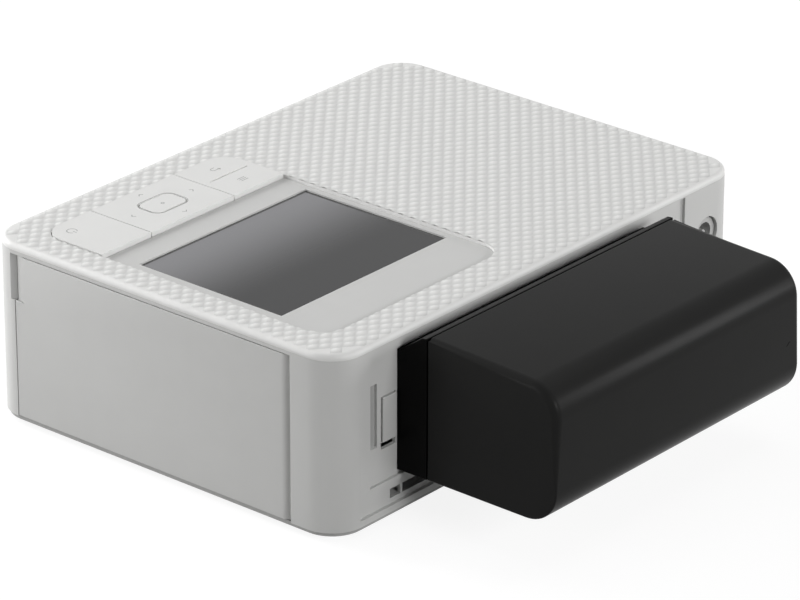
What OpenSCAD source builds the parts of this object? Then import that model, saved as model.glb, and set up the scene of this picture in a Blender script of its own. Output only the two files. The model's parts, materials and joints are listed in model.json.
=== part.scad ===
// Compact photo printer with a clip-on battery behind it.
// +X is the ink cassette side, -Y the front with the paper door, +Y the battery, +Z up.
// The origin is on the table, under the middle of the whole outline.

/* [Body] */
// Width of the body
body_w = 182.2; // [178:0.2:190]
// Depth of the body without the battery
body_d = 133; // [131:0.5:140]
// Height of the key tops above the table
body_h = 57.6; // [57.4:0.2:60]
// Corner radius of the body in plan
corner_r = 10.65; // [9.5:0.05:11.5]
// Wall thickness of the casings
wall = 2.2; // [1.9:0.1:2.4]
// Plate thickness of the top cover
cover_t = 2; // [1.8:0.1:2.2]
// Height of the keys and studs above the top cover's plate
stud_h = 0.5; // [0.4:0.1:0.7]
// Radius of the top cover's rounded rim
rim_r = 1.6; // [1:0.1:1.8]
// Height of the base plate's underside above the table
foot_h = 1.3; // [1:0.1:1.5]
// Thickness of the base plate
floor_t = 2; // [1.8:0.1:2.1]

/* [Fits] */
// Gap between panels that move and their openings
gap = 0.3; // [0.25:0.05:0.4]
// Radial clearance of pins, shafts and screws
fit = 0.05; // [0.03:0.01:0.08]

/* [Ink door and cassette] */
// Width of the ink cassette door along the side
ink_door_w = 104.9; // [103:0.1:106]
// Thickness of the two doors
door_t = 2.5; // [2.2:0.1:2.7]
// Radius of the door's hinge barrels
barrel_r = 3; // [2.8:0.1:3.1]
// Radius of the hinge pins
pin_r = 1; // [0.8:0.1:1.2]
// Length of the ink cassette
cassette_l = 126; // [120:1:127]
// Distance between the two ribbon spools
spool_gap = 54; // [52:0.5:54.5]
// Outer radius of the cassette's spool tubes
tube_r = 13.5; // [12.8:0.1:13.5]
// Wall thickness of the ink cassette
cassette_t = 1.3; // [1:0.1:1.6]

/* [Front door] */
// Width of the paper door
paper_door_w = 124; // [120:0.5:125]
// Height of the paper door
paper_door_h = 31.5; // [28:0.5:34]

/* [Screen and keys] */
// Width of the panel that holds the keys and the screen
panel_w = 78.2; // [77:0.1:79]
// Depth of the key strip
key_d = 24.6; // [24:0.1:25]
// Depth of the screen plate
plate_d = 84; // [80:0.5:85]
// Corner radius of the panel
panel_r = 8; // [6:0.5:9]
// Width of the screen's window
window_w = 71.4; // [69:0.1:72]
// Depth of the screen's window
window_d = 54.1; // [52:0.1:55]
// Thickness of the screen plate
plate_t = 1.5; // [1.3:0.1:1.7]
// Thickness of the key caps
key_t = 1.8; // [1.5:0.1:2]
// Width of the power key
power_w = 20.5; // [19:0.5:22]
// Width of the menu key
menu_w = 21.5; // [20:0.5:22]
// Width of the middle key
ok_w = 13.4; // [12:0.2:14]
// Depth of the middle key
ok_d = 8.8; // [8:0.2:9.4]

/* [Battery] */
// Length of the battery along the back
battery_l = 110.5; // [108:0.5:116]
// How far the battery stands out behind the body
battery_out = 55.8; // [52:0.2:58]
// Height of the battery's underside above the table
battery_z = 14.2; // [13.6:0.2:15]
// Height of the battery where it meets the adapter
battery_h = 43.1; // [41.5:0.1:43.5]
// Thickness of the adapter outside the body
adapter_t = 9.7; // [8.5:0.1:11]

/* [Rollers and gears] */
// Gear module
gear_m = 0.8; // [0.75:0.01:0.8]
// Teeth on the feed roller's gear
feed_teeth = 24; // [22:1:24]
// Teeth on the ribbon hub's gear
hub_teeth = 20; // [18:1:20]
// Teeth on the motor's pinion
pinion_teeth = 12; // [11:1:12]
// Face width of the gears
gear_w = 3; // [2.6:0.1:3]
// Radius of the platen roller
platen_r = 5.5; // [5:0.1:5.5]
// Radius of the feed roller
feed_r = 4; // [3.6:0.1:4.1]
// Radius of the pinch roller
pinch_r = 2.8; // [2.6:0.1:2.9]
// Radius of the pickup wheels
pickup_r = 7; // [6.6:0.1:7.1]
// Radius of the shaft journals
journal_r = 2; // [1.8:0.1:2.2]

/* [Hidden] */
$fn = 64;

// Overrun of every cut
over = 1;
// Body edges and levels
side_x = body_w / 2;
back_y = body_d / 2;
lip_h = 1.3;
base_top = foot_h + floor_t;
wall_z = foot_h + lip_h;
plate_top = body_h - stud_h;
part_z = plate_top - cover_t;
shift_y = -battery_out / 2;
base_inset = 0.8;
skirt_h = 1;
skirt_t = 1.6;
skirt_in = wall + 2 * fit;

// Case screws and feet
screw_r = 1.25;
screw_head_r = 2.4;
screw_head_h = 1;
screw_l = 9;
column_r = 3.6;
column_in = 6.5;
column_h = 16;
foot_r = 5.5;
foot_seat = 0.7;
foot_in_x = 16;
foot_in_y = 14;

// Ink door and its hinge
ink_back = 17;
ink_y1 = back_y - ink_back;
ink_y0 = ink_y1 - ink_door_w;
ink_door_y = (ink_y0 + ink_y1) / 2;
ink_z0 = wall_z + gap;
ink_strip = 1.1;
ink_z1 = part_z - ink_strip - gap;
hinge_x = side_x - barrel_r;
hinge_y = ink_y1 - barrel_r;
pin_seat = 0.9;
notch_w = 3.9;
notch_h = 14.5;
notch_deep = 1.3;
latch_w = 12;
latch_h = 1.2;

// Paper door and its hinge
paper_in = 21.1;
sill_h = 0.9;
paper_x1 = side_x - paper_in;
paper_x0 = paper_x1 - paper_door_w;
paper_x = (paper_x0 + paper_x1) / 2;
front_y = -back_y;
sill_z = base_top + sill_h;
paper_z0 = sill_z + gap;
paper_z1 = paper_z0 + paper_door_h;
flap_y = front_y + barrel_r;
flap_z = paper_z0 + barrel_r;
lug_w = 3.7;

// Panel with the screen and the keys
panel_in = 10;
panel_front = 11.6;
panel_x = side_x - panel_in - panel_w / 2;
panel_y0 = front_y + panel_front;
seam_y = panel_y0 + key_d;
panel_y1 = seam_y + plate_d + gap;
step_h = 0.9;
glass_side = 1;
glass_front = 10.3;
glass_x = panel_x - glass_side;
glass_y = seam_y + glass_front + window_d / 2;
glass_t = 1;
glass_fit = 0.1;
flange = 2;
screen_top = plate_top - step_h;
screen_low = screen_top - plate_t;
module_side = 2.3;
module_end = 2.95;
module_w = window_w + 2 * module_side;
module_d = window_d + 2 * module_end;
module_t = 3.7;
module_low = screen_low - module_t;

// Keys
key_low = body_h - key_t;
key_x0 = panel_x - panel_w / 2 + gap;
key_x1 = panel_x + panel_w / 2 - gap;
key_y0 = panel_y0 + gap;
key_y1 = seam_y - gap / 2;
key_y = (key_y0 + key_y1) / 2;
power_x0 = key_x1 - power_w;
menu_x1 = key_x0 + menu_w;
pad_x0 = menu_x1 + gap;
pad_x1 = power_x0 - gap;
pad_x = (pad_x0 + pad_x1) / 2;
ok_hole = 0.4;
ok_r = 2.6;
slit_w = 0.5;
slit_in = 2.6;
travel = 0.6;
stem_r = 1.6;
guide_t = 1;
tray_t = 1;
tray_wall = 1.2;
switch_h = 1.5;
tray_deep = 3.5;
tray_z = part_z - tray_deep;
tray_top = tray_z + tray_t;
board_t = 1;
board_drop = 2.2;
key_board_z = tray_z - board_drop;
switch_top = key_board_z + board_t + switch_h;
stem_z = switch_top + travel + 2 * fit;
switch_w = 4.2;
switch_r = 1.2;
pivot_t = 1.2;
rock_room = 0.4;
pivot_z = tray_top + rock_room;
pivot_top = key_low - rock_room;
ridge_w = 1;
stem_share = 0.45;
power_at = power_x0 + power_w * stem_share;
menu_at = key_x0 + menu_w / 2;
// Shares of the key depth at which the side switches stand
switch_shares = [-0.36, 0.36];

// Frames and their openings
sheet = 1.2;
cassette_in = 17.1;
dog_room = 7;
end_room = 1.5;
cassette_end = side_x - cassette_in;
cassette_x = cassette_end - cassette_l;
frame_x0 = cassette_x - dog_room;
frame_x1 = cassette_end + end_room;
frame_in = 4.5;
frame_y = back_y - frame_in;
frame_top = 48.5;
flange_w = 9;
cross_front_y = 1.5;
cross_rear_in = 14.5;
cross_rear_y = back_y - cross_rear_in;
cross_front_z = 38;
cross_rear_z = 20;

// Cassette and head
spool_y = ink_door_y;
supply_y = spool_y - spool_gap / 2;
takeup_y = spool_y + spool_gap / 2;
spool_z = 30;
rail_t = 1;
rail_w = 6;
rail_sink = 0.1;
rail_top = spool_z - tube_r + rail_sink;
core_r = 5;
socket_r = 3.6;
socket_l = 7;
roll_r = 11;
film_t = 0.15;
film_in = 4;
film_end = 9;
film_w = cassette_l - 2 * film_end;
grip_t = 1.5;
grip_h = 20;
slit_h = 3;

// Rollers
feed_in = 20.5;
feed_y = back_y - feed_in;
feed_z = 14.2;
nip = 0.15;
pinch_z = feed_z - feed_r - nip - pinch_r;
platen_room = 0.5;
platen_y = spool_y;
platen_z = rail_top - rail_t - platen_room - platen_r;
pickup_in = 12.5;
pickup_y = front_y + pickup_in;
pickup_z = 22;
pickup_w = 12;
pickup_gap = 50;
guide_room = 3.5;
guide_step = 0.6;
roller_room = 0.9;
roller_in_x0 = 11;
roller_in_x1 = 9.5;
roller_x0 = frame_x0 + roller_in_x0;
roller_x1 = frame_x1 - roller_in_x1;
shaft_end = 0.8;
bush_r = 3.2;
bush_rim = 0.2;
bush_rim_t = 0.4;
belt_w = 2.6;
belt_t = 0.9;
pulley_r = 4.6;
belt_gap = 0.25;
side_room = 1.2;

// Drive side planes, from the frame outwards
bush_x = frame_x0 - sheet - bush_rim_t;
belt_x = bush_x - gap - belt_w;
gear_x = belt_x - side_room - gear_w;
motor_x = gear_x - side_room - sheet;
feed_pitch = gear_m * feed_teeth / 2;
hub_pitch = gear_m * hub_teeth / 2;
pinion_pitch = gear_m * pinion_teeth / 2;
mesh_feed = feed_pitch + pinion_pitch;
mesh_hub = hub_pitch + pinion_pitch;
span = norm([takeup_y - feed_y, spool_z - feed_z]);
span_turn = atan2(spool_z - feed_z, takeup_y - feed_y);
swing = acos(min(1, (mesh_feed * mesh_feed + span * span - mesh_hub * mesh_hub) / (2 * mesh_feed * span)));
pinion_turn = span_turn - swing;
pinion_y = feed_y + mesh_feed * cos(pinion_turn);
pinion_z = feed_z + mesh_feed * sin(pinion_turn);
hub_turn = atan2(spool_z - pinion_z, takeup_y - pinion_y);
pinion_phase = pinion_turn + 180 + pinion_turn * feed_teeth / pinion_teeth + 180 / pinion_teeth;
hub_phase = hub_turn + 180 + (hub_turn - pinion_phase) * pinion_teeth / hub_teeth + 180 / hub_teeth;
motor_r = 11.5;
motor_l = 15;
motor_boss_r = 4;
ear_at = 12;
ear_r = 3.3;
motor_shaft_r = 1;
post_r = 2.2;
coupler_r = 3;
coupler_l = 5;
neck_r = 3.9;
plate_front = 36;
plate_y0 = feed_y - plate_front;
plate_y1 = frame_y;
plate_z1 = 47;
post_in = 4;

// Print head, its arm and pivot
head_in = 2;
head_y = feed_y - head_in;
head_z = 42;
arm_room = 2.7;
arm_z = spool_z + tube_r + arm_room;
arm_t = 1.6;
arm_in_x0 = 9;
arm_in_x1 = 5.5;
arm_x0 = frame_x0 + arm_in_x0;
arm_x1 = frame_x1 - arm_in_x1;
lug_t = 3;
arm_lug_r = 4;
sink_in_x0 = 6;
sink_in_x1 = 4;
sink_x0 = arm_x0 + sink_in_x0;
sink_x1 = arm_x1 - sink_in_x1;
sink_d = 14;
sink_low = 27;
bar_h = 2.4;
glaze_h = 2;
glaze_w = 6;
fin_w = 1.4;
fin_count = 4;
fin_h = 9;

// Main board and sockets
main_z = frame_top;
main_t = 1.6;
main_side = 5.1;
main_panel = 8.9;
main_front = 5.5;
main_back = 26.5;
main_x0 = -side_x + main_side;
main_x1 = panel_x - panel_w / 2 - main_panel;
main_y0 = front_y + main_front;
main_y1 = back_y - main_back;
part_h = 2.4;
link_z = 0.9;
cable_t = 0.3;
cable_w = 18;
cable_off = 0.95;
cable_y = glass_y + cable_off;
card_w = 26;
card_d = 30;
card_h = 4;
card_in = 28;
card_x = main_x1 - card_in;
slot_w = 24.4;
slot_h = 2.2;
usb_w = 13;
usb_d = 14;
usb_h = 6.4;
usb_in = 37;
usb_y = main_y0 + usb_in;
usb_wall = 0.6;

// Power inlet
inlet_side = 15.4;
inlet_x = -side_x + inlet_side;
inlet_z = 39.7;
inlet_r = 4.9;
inlet_hole = 5.3;
inlet_bore = 3.2;
inlet_pin = 0.9;
inlet_l = 12;
inlet_deep = 9;
inlet_w = 9.3;
inlet_in = 1;

// Back of the body
battery_in = 26.9;
battery_x1 = side_x - battery_in;
battery_x0 = battery_x1 - battery_l;
bay_end_x0 = 16.2;
bay_end_x1 = 12.4;
bay_low = 1.3;
bay_drop = 2.7;
bay_x0 = battery_x0 - bay_end_x0;
bay_x1 = battery_x1 + bay_end_x1;
bay_z0 = battery_z - bay_low;
bay_z1 = part_z - bay_drop;
bay_deep = 1;
groove_w = 2.4;
low_end_x0 = 3.5;
low_end_x1 = 4.1;
low_x0 = bay_x0 - low_end_x0;
low_x1 = bay_x1 + low_end_x1;
low_z0 = 4.5;
low_z1 = 11.7;
low_deep = 1.2;
exit_in_x0 = 7;
exit_in_x1 = 8.6;
exit_x0 = frame_x0 + exit_in_x0;
exit_x1 = frame_x1 - exit_in_x1;
exit_z0 = 6.1;
exit_z1 = 9;
exit_rib_in = 4.5;
exit_rib_w = 0.8;
side_slot_w = 2.8;
side_slot_in = 1.1;
side_slot_x1 = bay_x1 - side_slot_in;
side_slot_x0 = side_slot_x1 - side_slot_w;
side_slot_z0 = 24.2;
side_slot_z1 = 43.7;
side_slot_deep = 0.9;
release_end = 0.9;
release_w = 5.6;
latch_x0 = battery_x1 + release_end;
latch_x1 = latch_x0 + release_w;
latch_z0 = 25;
latch_z1 = 38.6;
latch_proud = 0.6;
latch_travel = 2;
latch_foot = 1.4;
term_in = 34.2;
term_x = battery_x1 - term_in;
term_w = 26;
term_z = 29;
term_h = 10;
term_l = 8;
plug_w = 20;
plug_h = 5;
plug_l = 4;
plug_fit = 0.4;

// Battery and adapter
battery_y0 = back_y + adapter_t;
battery_y1 = back_y + battery_out;
battery_top = battery_z + battery_h;
top_fall = 1.4;
outer_r = 10.2;
lower_r = 10.6;
inner_r = 0.5;
end_r = 2.2;
foot_end_share = 0.25;
shell_t = 1.6;
seam = 0.05;
lid_t = 1.8;
cell_r = 8.6;
cell_l = 65;
cell_gap = 0.5;
adapter_drop = 1.1;
adapter_top = bay_z1 - adapter_drop;
adapter_crest = 1.9;
adapter_dip = 0.2;

// A box between two corners
module block(x0, x1, y0, y1, z0, z1) {
    translate([x0, y0, z0]) cube([x1 - x0, y1 - y0, z1 - z0]);
}

// A rod along X
module rod_x(x0, x1, y, z, r) {
    translate([x0, y, z]) rotate([0, 90, 0]) cylinder(r = r, h = x1 - x0);
}

// A rod along Y
module rod_y(x, y0, y1, z, r) {
    translate([x, y1, z]) rotate([90, 0, 0]) cylinder(r = r, h = y1 - y0);
}

// A flat shape drawn in Y and Z, drawn out along X
module along_x(x0, x1) {
    translate([x0, 0, 0]) rotate([90, 0, 90]) linear_extrude(x1 - x0) children();
}

// A rectangle with round corners
module round_rect(w, d, r) {
    square([w - 2 * r, d], center = true);
    square([w, d - 2 * r], center = true);
    for (x = [-1, 1], y = [-1, 1])
        translate([x * (w / 2 - r), y * (d / 2 - r)]) circle(r);
}

// An upright plate with round corners
module round_plate(w, d, r, z0, z1) {
    translate([0, 0, z0]) linear_extrude(z1 - z0) round_rect(w, d, r);
}

// The same plate between two X and two Y values
module round_block(x0, x1, y0, y1, r, z0, z1) {
    translate([(x0 + x1) / 2, (y0 + y1) / 2, 0]) round_plate(x1 - x0, y1 - y0, r, z0, z1);
}

// The four corners of the body, a distance in from its sides
module at_corners(in_x, in_y) {
    for (x = [-1, 1], y = [-1, 1])
        translate([x * (side_x - in_x), y * (back_y - in_y), 0]) children();
}

// The flat shape of a gear with straight-sided teeth
function tooth_at(r, a) = [r * cos(a), r * sin(a)];
tooth_root_share = 0.27;
tooth_tip_share = 0.1;
add_share = 0.8;
ded_share = 1.2;
module gear_shape(teeth, phase) {
    pitch = 360 / teeth;
    root = gear_m * (teeth / 2 - ded_share);
    tip = gear_m * (teeth / 2 + add_share);
    at_shares = [-tooth_root_share, -tooth_tip_share, tooth_tip_share, tooth_root_share];
    polygon([for (i = [0 : teeth - 1], k = [0 : 3])
        tooth_at(k == 0 || k == 3 ? root : tip, phase + pitch * (i + at_shares[k]))]);
}

// A gear with its axis along X
module gear(x0, y, z, teeth, phase) {
    translate([0, y, z]) along_x(x0, x0 + gear_w) gear_shape(teeth, phase);
}

// Places of the four shafts that run in both frames
shaft_places = [[feed_y, feed_z], [feed_y, pinch_z], [platen_y, platen_z], [pickup_y, pickup_z]];

// Side walls of the body, in one piece
module housing() {
    color("gainsboro") {
        difference() {
            round_plate(body_w, body_d, corner_r, wall_z, part_z);
            round_plate(body_w - 2 * wall, body_d - 2 * wall, corner_r - wall, wall_z - over, part_z + over);
            block(side_x - wall - over, side_x + over, ink_y0 - gap, ink_y1 + gap, 0, ink_z1 + gap);
            ink_notch();
            block(paper_x0 - gap, paper_x1 + gap, front_y - over, front_y + wall + over,
                sill_z, paper_z1 + gap);
            translate([hinge_x, hinge_y, ink_z1]) cylinder(r = pin_r + fit, h = gap + pin_seat);
            rod_x(paper_x0 - gap - lug_w, paper_x1 + gap + lug_w, flap_y, flap_z, pin_r + fit);
            housing_back_cuts();
            housing_socket_cuts();
        }
        difference() {
            union() {
                block(hinge_x - barrel_r, side_x - wall, hinge_y - barrel_r, ink_y1 + gap + wall,
                    ink_z1 + gap, part_z);
                block(hinge_x - barrel_r, side_x, hinge_y - barrel_r, ink_y1 + gap, ink_z1 + gap, part_z);
            }
            translate([hinge_x, hinge_y, ink_z1]) cylinder(r = pin_r + fit, h = gap + pin_seat);
        }
        block(exit_x1 - exit_rib_in - exit_rib_w, exit_x1 - exit_rib_in, back_y - wall,
            back_y - low_deep, exit_z0 - over, exit_z1 + over);
        for (x = [paper_x0 - gap - lug_w, paper_x1 + gap])
            difference() {
                hinge_lug(x);
                rod_x(x - over, x + lug_w + over, flap_y, flap_z, pin_r + fit);
            }
        intersection() {
            round_plate(body_w, body_d, corner_r, wall_z, part_z);
            at_corners(column_in, column_in) difference() {
                translate([0, 0, base_top]) cylinder(r = column_r, h = column_h);
                translate([0, 0, base_top - over]) cylinder(r = screw_r + fit, h = screw_l + over);
            }
        }
    }
}

// One lug of the paper door's hinge, joined to the front wall
module hinge_lug(x) {
    rod_x(x, x + lug_w, flap_y, flap_z, barrel_r);
    block(x, x + lug_w, front_y + wall / 2, flap_y, flap_z - barrel_r, flap_z + barrel_r);
}

// Scoop for a fingertip at the front top corner of the ink door
module ink_notch() {
    translate([0, 0, ink_z1 + gap - notch_h]) linear_extrude(height = notch_h) polygon([
        [side_x + over, ink_y0 - notch_w / 2], [side_x, ink_y0 - notch_w / 2],
        [side_x - notch_deep, ink_y0 - gap], [side_x, ink_y0 + notch_w], [side_x + over, ink_y0 + notch_w]
    ]);
}

// Battery bay, paper exit and slots in the back wall
module housing_back_cuts() {
    block(bay_x0, bay_x1, back_y - bay_deep, back_y + over, bay_z0, bay_z1);
    block(bay_x0 - groove_w, bay_x0 + over, back_y - bay_deep, back_y + over, bay_z0, bay_z1 + groove_w);
    block(low_x0, low_x1, back_y - low_deep, back_y + over, low_z0, low_z1);
    block(exit_x0, exit_x1, back_y - wall - over, back_y + over, exit_z0, exit_z1);
    block(side_slot_x0, side_slot_x1, back_y - bay_deep - side_slot_deep, back_y,
        side_slot_z0, side_slot_z1);
    block(latch_x0 - gap, latch_x1 + gap, back_y - wall - over, back_y,
        latch_z0 - latch_travel - gap, latch_z1 + gap);
    block(term_x - term_w / 2, term_x + term_w / 2, back_y - wall - over, back_y,
        term_z - term_h / 2, term_z + term_h / 2);
    rod_y(inlet_x, back_y - wall - over, back_y + over, inlet_z, inlet_hole);
}

// Card slot in the front wall and the socket hole in the power side
module housing_socket_cuts() {
    block(card_x - slot_w / 2, card_x + slot_w / 2, front_y - over, front_y + wall + over,
        main_z - card_h / 2 - slot_h / 2, main_z - card_h / 2 + slot_h / 2);
    block(-side_x - over, -side_x + wall + over, usb_y - usb_w / 2 - gap, usb_y + usb_w / 2 + gap,
        main_z - usb_h - gap, main_z + gap);
}

// Flat floor of the body with seats for the feet and screws
module base_plate() {
    inner = wall + 4 * fit + barrel_r - door_t;
    color("silver") difference() {
        union() {
            round_plate(body_w - 2 * base_inset, body_d - 2 * base_inset, corner_r - base_inset,
                foot_h, wall_z);
            round_plate(body_w - 2 * inner, body_d - 2 * inner, corner_r - inner, foot_h, base_top);
        }
        at_corners(column_in, column_in) {
            translate([0, 0, foot_h - over]) cylinder(r = screw_r + fit, h = floor_t + 2 * over);
            translate([0, 0, foot_h - over]) cylinder(r = screw_head_r + fit, h = screw_head_h + over);
        }
        at_corners(foot_in_x, foot_in_y)
            translate([0, 0, foot_h - over]) cylinder(r = foot_r + fit, h = foot_seat + over);
        translate([hinge_x, hinge_y, wall_z]) cylinder(r = barrel_r + gap, h = floor_t);
        translate([hinge_x, hinge_y, wall_z - pin_seat]) cylinder(r = pin_r + fit, h = floor_t);
    }
}

module rubber_feet() {
    color("dimgray") at_corners(foot_in_x, foot_in_y) cylinder(r = foot_r, h = foot_h + foot_seat);
}

module case_screws() {
    color("slategray") at_corners(column_in, column_in) {
        translate([0, 0, foot_h]) cylinder(r = screw_head_r, h = screw_head_h);
        translate([0, 0, foot_h]) cylinder(r = screw_r, h = screw_l + floor_t - gap);
    }
}

// Top cover: a plate with a rounded rim, a short skirt and one opening for the panel
module top_cover() {
    color("whitesmoke") difference() {
        union() {
            rimmed_plate();
            round_ring(body_w - 2 * skirt_in, body_d - 2 * skirt_in, corner_r - skirt_in, skirt_t,
                part_z - skirt_h, part_z + cover_t / 2);
        }
        panel_hole(0);
        block(hinge_x - barrel_r - gap, side_x, hinge_y - barrel_r - gap, ink_y1 + gap + wall + gap,
            part_z - skirt_h - over, part_z);
    }
}

// Ring of a wall thickness inside a round rectangle
module round_ring(w, d, r, t, z0, z1) {
    difference() {
        round_plate(w, d, r, z0, z1);
        round_plate(w - 2 * t, d - 2 * t, r - t, z0 - over, z1 + over);
    }
}

// Plate whose top edge is rounded all the way round
module rimmed_plate() {
    low = plate_top - rim_r;
    long_x = body_w - 2 * corner_r;
    long_y = body_d - 2 * corner_r;
    round_plate(body_w, body_d, corner_r, part_z, low);
    round_plate(body_w - 2 * rim_r, body_d - 2 * rim_r, corner_r - rim_r, part_z, plate_top);
    for (x = [-1, 1], y = [-1, 1])
        translate([x * (side_x - corner_r), y * (back_y - corner_r), low]) rotate_extrude()
            intersection() {
                translate([corner_r - rim_r, 0]) circle(rim_r);
                square([corner_r, rim_r]);
            }
    for (s = [0, 1])
        mirror([0, s, 0]) intersection() {
            rod_x(-long_x / 2, long_x / 2, back_y - rim_r, low, rim_r);
            block(-long_x / 2, long_x / 2, back_y - 2 * rim_r, back_y, part_z, plate_top);
        }
    for (s = [0, 1])
        mirror([s, 0, 0]) intersection() {
            rod_y(side_x - rim_r, -long_y / 2, long_y / 2, low, rim_r);
            block(side_x - 2 * rim_r, side_x, -long_y / 2, long_y / 2, part_z, plate_top);
        }
}

// Opening of the panel, made larger all round by a margin
module panel_hole(more) {
    round_block(panel_x - panel_w / 2 - more, panel_x + panel_w / 2 + more,
        panel_y0 - more, panel_y1 + more, panel_r + more, part_z - over, plate_top + over);
}

// Sunk plate round the screen, with a flange under the top cover
module screen_plate() {
    color("lightgray") difference() {
        union() {
            screen_area(glass_fit, screen_low, screen_top);
            screen_area(-flange, screen_low, part_z);
        }
        block(glass_x - window_w / 2, glass_x + window_w / 2, glass_y - window_d / 2, glass_y + window_d / 2,
            screen_low - over, screen_top + over);
    }
}

// The screen's part of the panel, drawn in by a margin, with a straight front edge at the seam
module screen_area(in, z0, z1) {
    intersection() {
        round_block(panel_x - panel_w / 2 + in, panel_x + panel_w / 2 - in,
            panel_y0 + in, panel_y1 - in, panel_r - in, z0, z1);
        block(panel_x - panel_w, panel_x + panel_w, seam_y + gap / 2, panel_y1 + panel_r, z0, z1);
    }
}

module screen_glass() {
    color([0.25, 0.26, 0.27, 0.9])
        block(glass_x - window_w / 2 + glass_fit, glass_x + window_w / 2 - glass_fit,
            glass_y - window_d / 2 + glass_fit, glass_y + window_d / 2 - glass_fit,
            screen_low, screen_low + glass_t);
}

module screen_module() {
    color("darkslategray")
        block(glass_x - module_w / 2, glass_x + module_w / 2, glass_y - module_d / 2, glass_y + module_d / 2,
            module_low, screen_low);
}

// Flat cable from the screen to its connector on the main board
module screen_cable() {
    color("peru")
        block(main_x1 - part_h, glass_x - module_w / 2, cable_y - cable_w / 2, cable_y + cable_w / 2,
            main_z + main_t + link_z, main_z + main_t + link_z + cable_t);
}

// Tray under the keys: stem guides, rocker ridge and posts for the key board
module key_frame() {
    x0 = key_x0 - flange;
    x1 = key_x1 + flange;
    y0 = key_y0 - flange;
    color("gray") {
        difference() {
            block(x0, x1, y0, key_y1, tray_z, tray_top);
            for (p = key_places) translate([p[0], p[1], tray_z - over])
                cylinder(r = stem_r + gap, h = tray_t + 2 * over);
        }
        for (p = [key_places[0], key_places[1]]) translate([p[0], p[1], 0]) difference() {
            translate([0, 0, tray_z])
                cylinder(r = stem_r + gap + guide_t, h = key_low - tray_z - travel - gap);
            translate([0, 0, tray_z - over]) cylinder(r = stem_r + gap, h = part_z);
        }
        difference() {
            block(x0, x1, y0, key_y1, tray_z, part_z);
            block(x0 + tray_wall, x1 - tray_wall, y0 + tray_wall, key_y1 + over,
                tray_z - over, part_z + over);
        }
        block(key_x0 + ridge_w, menu_x1 - ridge_w, key_y - ridge_w / 2, key_y + ridge_w / 2,
            tray_z, key_low - gap);
        for (x = [x0 + ridge_w, pad_x1 - ridge_w, x1 - 2 * ridge_w - tray_wall])
            block(x, x + 2 * ridge_w, y0, y0 + 2 * ridge_w, key_board_z + board_t, tray_top);
    }
}

// Places of the stems: power, middle key, four under the pad, two under the menu key
key_places = [
    [power_at, key_y], [pad_x, key_y],
    [pad_x - ok_w, key_y], [pad_x + ok_w, key_y],
    [pad_x, key_y + switch_shares[0] * key_d], [pad_x, key_y + switch_shares[1] * key_d],
    [menu_at, key_y + switch_shares[0] * key_d], [menu_at, key_y + switch_shares[1] * key_d]
];

module key_board() {
    color("seagreen")
        block(key_x0 - ridge_w, key_x1 + ridge_w, key_y0 - ridge_w, key_y1,
            key_board_z, key_board_z + board_t);
}

module key_switches() {
    color("black") for (p = key_places) translate([p[0], p[1], key_board_z + board_t]) {
        translate([-switch_w / 2, -switch_w / 2, 0]) cube([switch_w, switch_w, switch_h - travel]);
        cylinder(r = switch_r, h = switch_h);
    }
}

// One part of the key strip, cut from its outline between two X values
module key_cap(x0, x1) {
    intersection() {
        round_block(key_x0, key_x1, key_y0, key_y1 + plate_d, panel_r - gap, key_low, body_h);
        block(x0, x1, key_y0 - over, key_y1, key_low - over, body_h + over);
    }
}

// A stem under a key
module stem(p, z) {
    translate([p[0], p[1], z]) cylinder(r = stem_r, h = key_low + key_t / 2 - z);
}

module power_key() {
    color("white") {
        key_cap(power_x0, key_x1);
        stem(key_places[0], stem_z);
    }
}

module ok_key() {
    color("white") {
        around_ok(0, key_low, body_h);
        stem(key_places[1], stem_z);
    }
}

// Ring on which the direction pad rocks
module pad_pivot() {
    color("dimgray") difference() {
        around_ok(gap + pivot_t, pivot_z, pivot_top);
        around_ok(gap, pivot_z - over, pivot_top + over);
    }
}

// Outline of the middle key, made larger all round by a margin
module around_ok(more, z0, z1) {
    round_block(pad_x - ok_w / 2 - more, pad_x + ok_w / 2 + more,
        key_y - ok_d / 2 - more, key_y + ok_d / 2 + more, ok_r + more, z0, z1);
}

module direction_pad() {
    color("white") {
        difference() {
            key_cap(pad_x0, pad_x1);
            around_ok(ok_hole, key_low - over, body_h + over);
        }
        for (i = [2 : 5]) stem(key_places[i], stem_z);
    }
}

module menu_rocker() {
    color("white") {
        difference() {
            key_cap(key_x0, menu_x1);
            block(key_x0 + slit_in, menu_x1 - slit_in, key_y - slit_w / 2, key_y + slit_w / 2,
                body_h - key_t / 2, body_h + over);
        }
        for (i = [6 : 7]) stem(key_places[i], stem_z);
    }
}

// Door of the ink bay, with its hinge barrel along the rear edge
module ink_door() {
    color("gainsboro") difference() {
        union() {
            block(side_x - door_t, side_x, ink_y0, hinge_y, ink_z0, ink_z1);
            translate([hinge_x, hinge_y, ink_z0]) cylinder(r = barrel_r, h = ink_z1 - ink_z0);
            block(side_x - door_t - latch_h, side_x - door_t / 2, ink_y0 + latch_h, ink_y0 + 2 * latch_h,
                (ink_z0 + ink_z1 - latch_w) / 2, (ink_z0 + ink_z1 + latch_w) / 2);
        }
        ink_notch();
        translate([hinge_x, hinge_y, 0]) cylinder(r = pin_r + fit, h = body_h);
    }
}

module ink_door_pin() {
    color("silver") translate([hinge_x, hinge_y, wall_z - pin_seat + fit])
        cylinder(r = pin_r, h = ink_z1 + gap + 2 * pin_seat - 2 * fit - wall_z);
}

// Flap over the paper bay, with its hinge barrel along the lower edge
module paper_door() {
    color("gainsboro") difference() {
        union() {
            block(paper_x0, paper_x1, front_y, front_y + door_t, flap_z, paper_z1);
            rod_x(paper_x0, paper_x1, flap_y, flap_z, barrel_r);
        }
        rod_x(paper_x0 - over, paper_x1 + over, flap_y, flap_z, pin_r + fit);
    }
}

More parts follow.
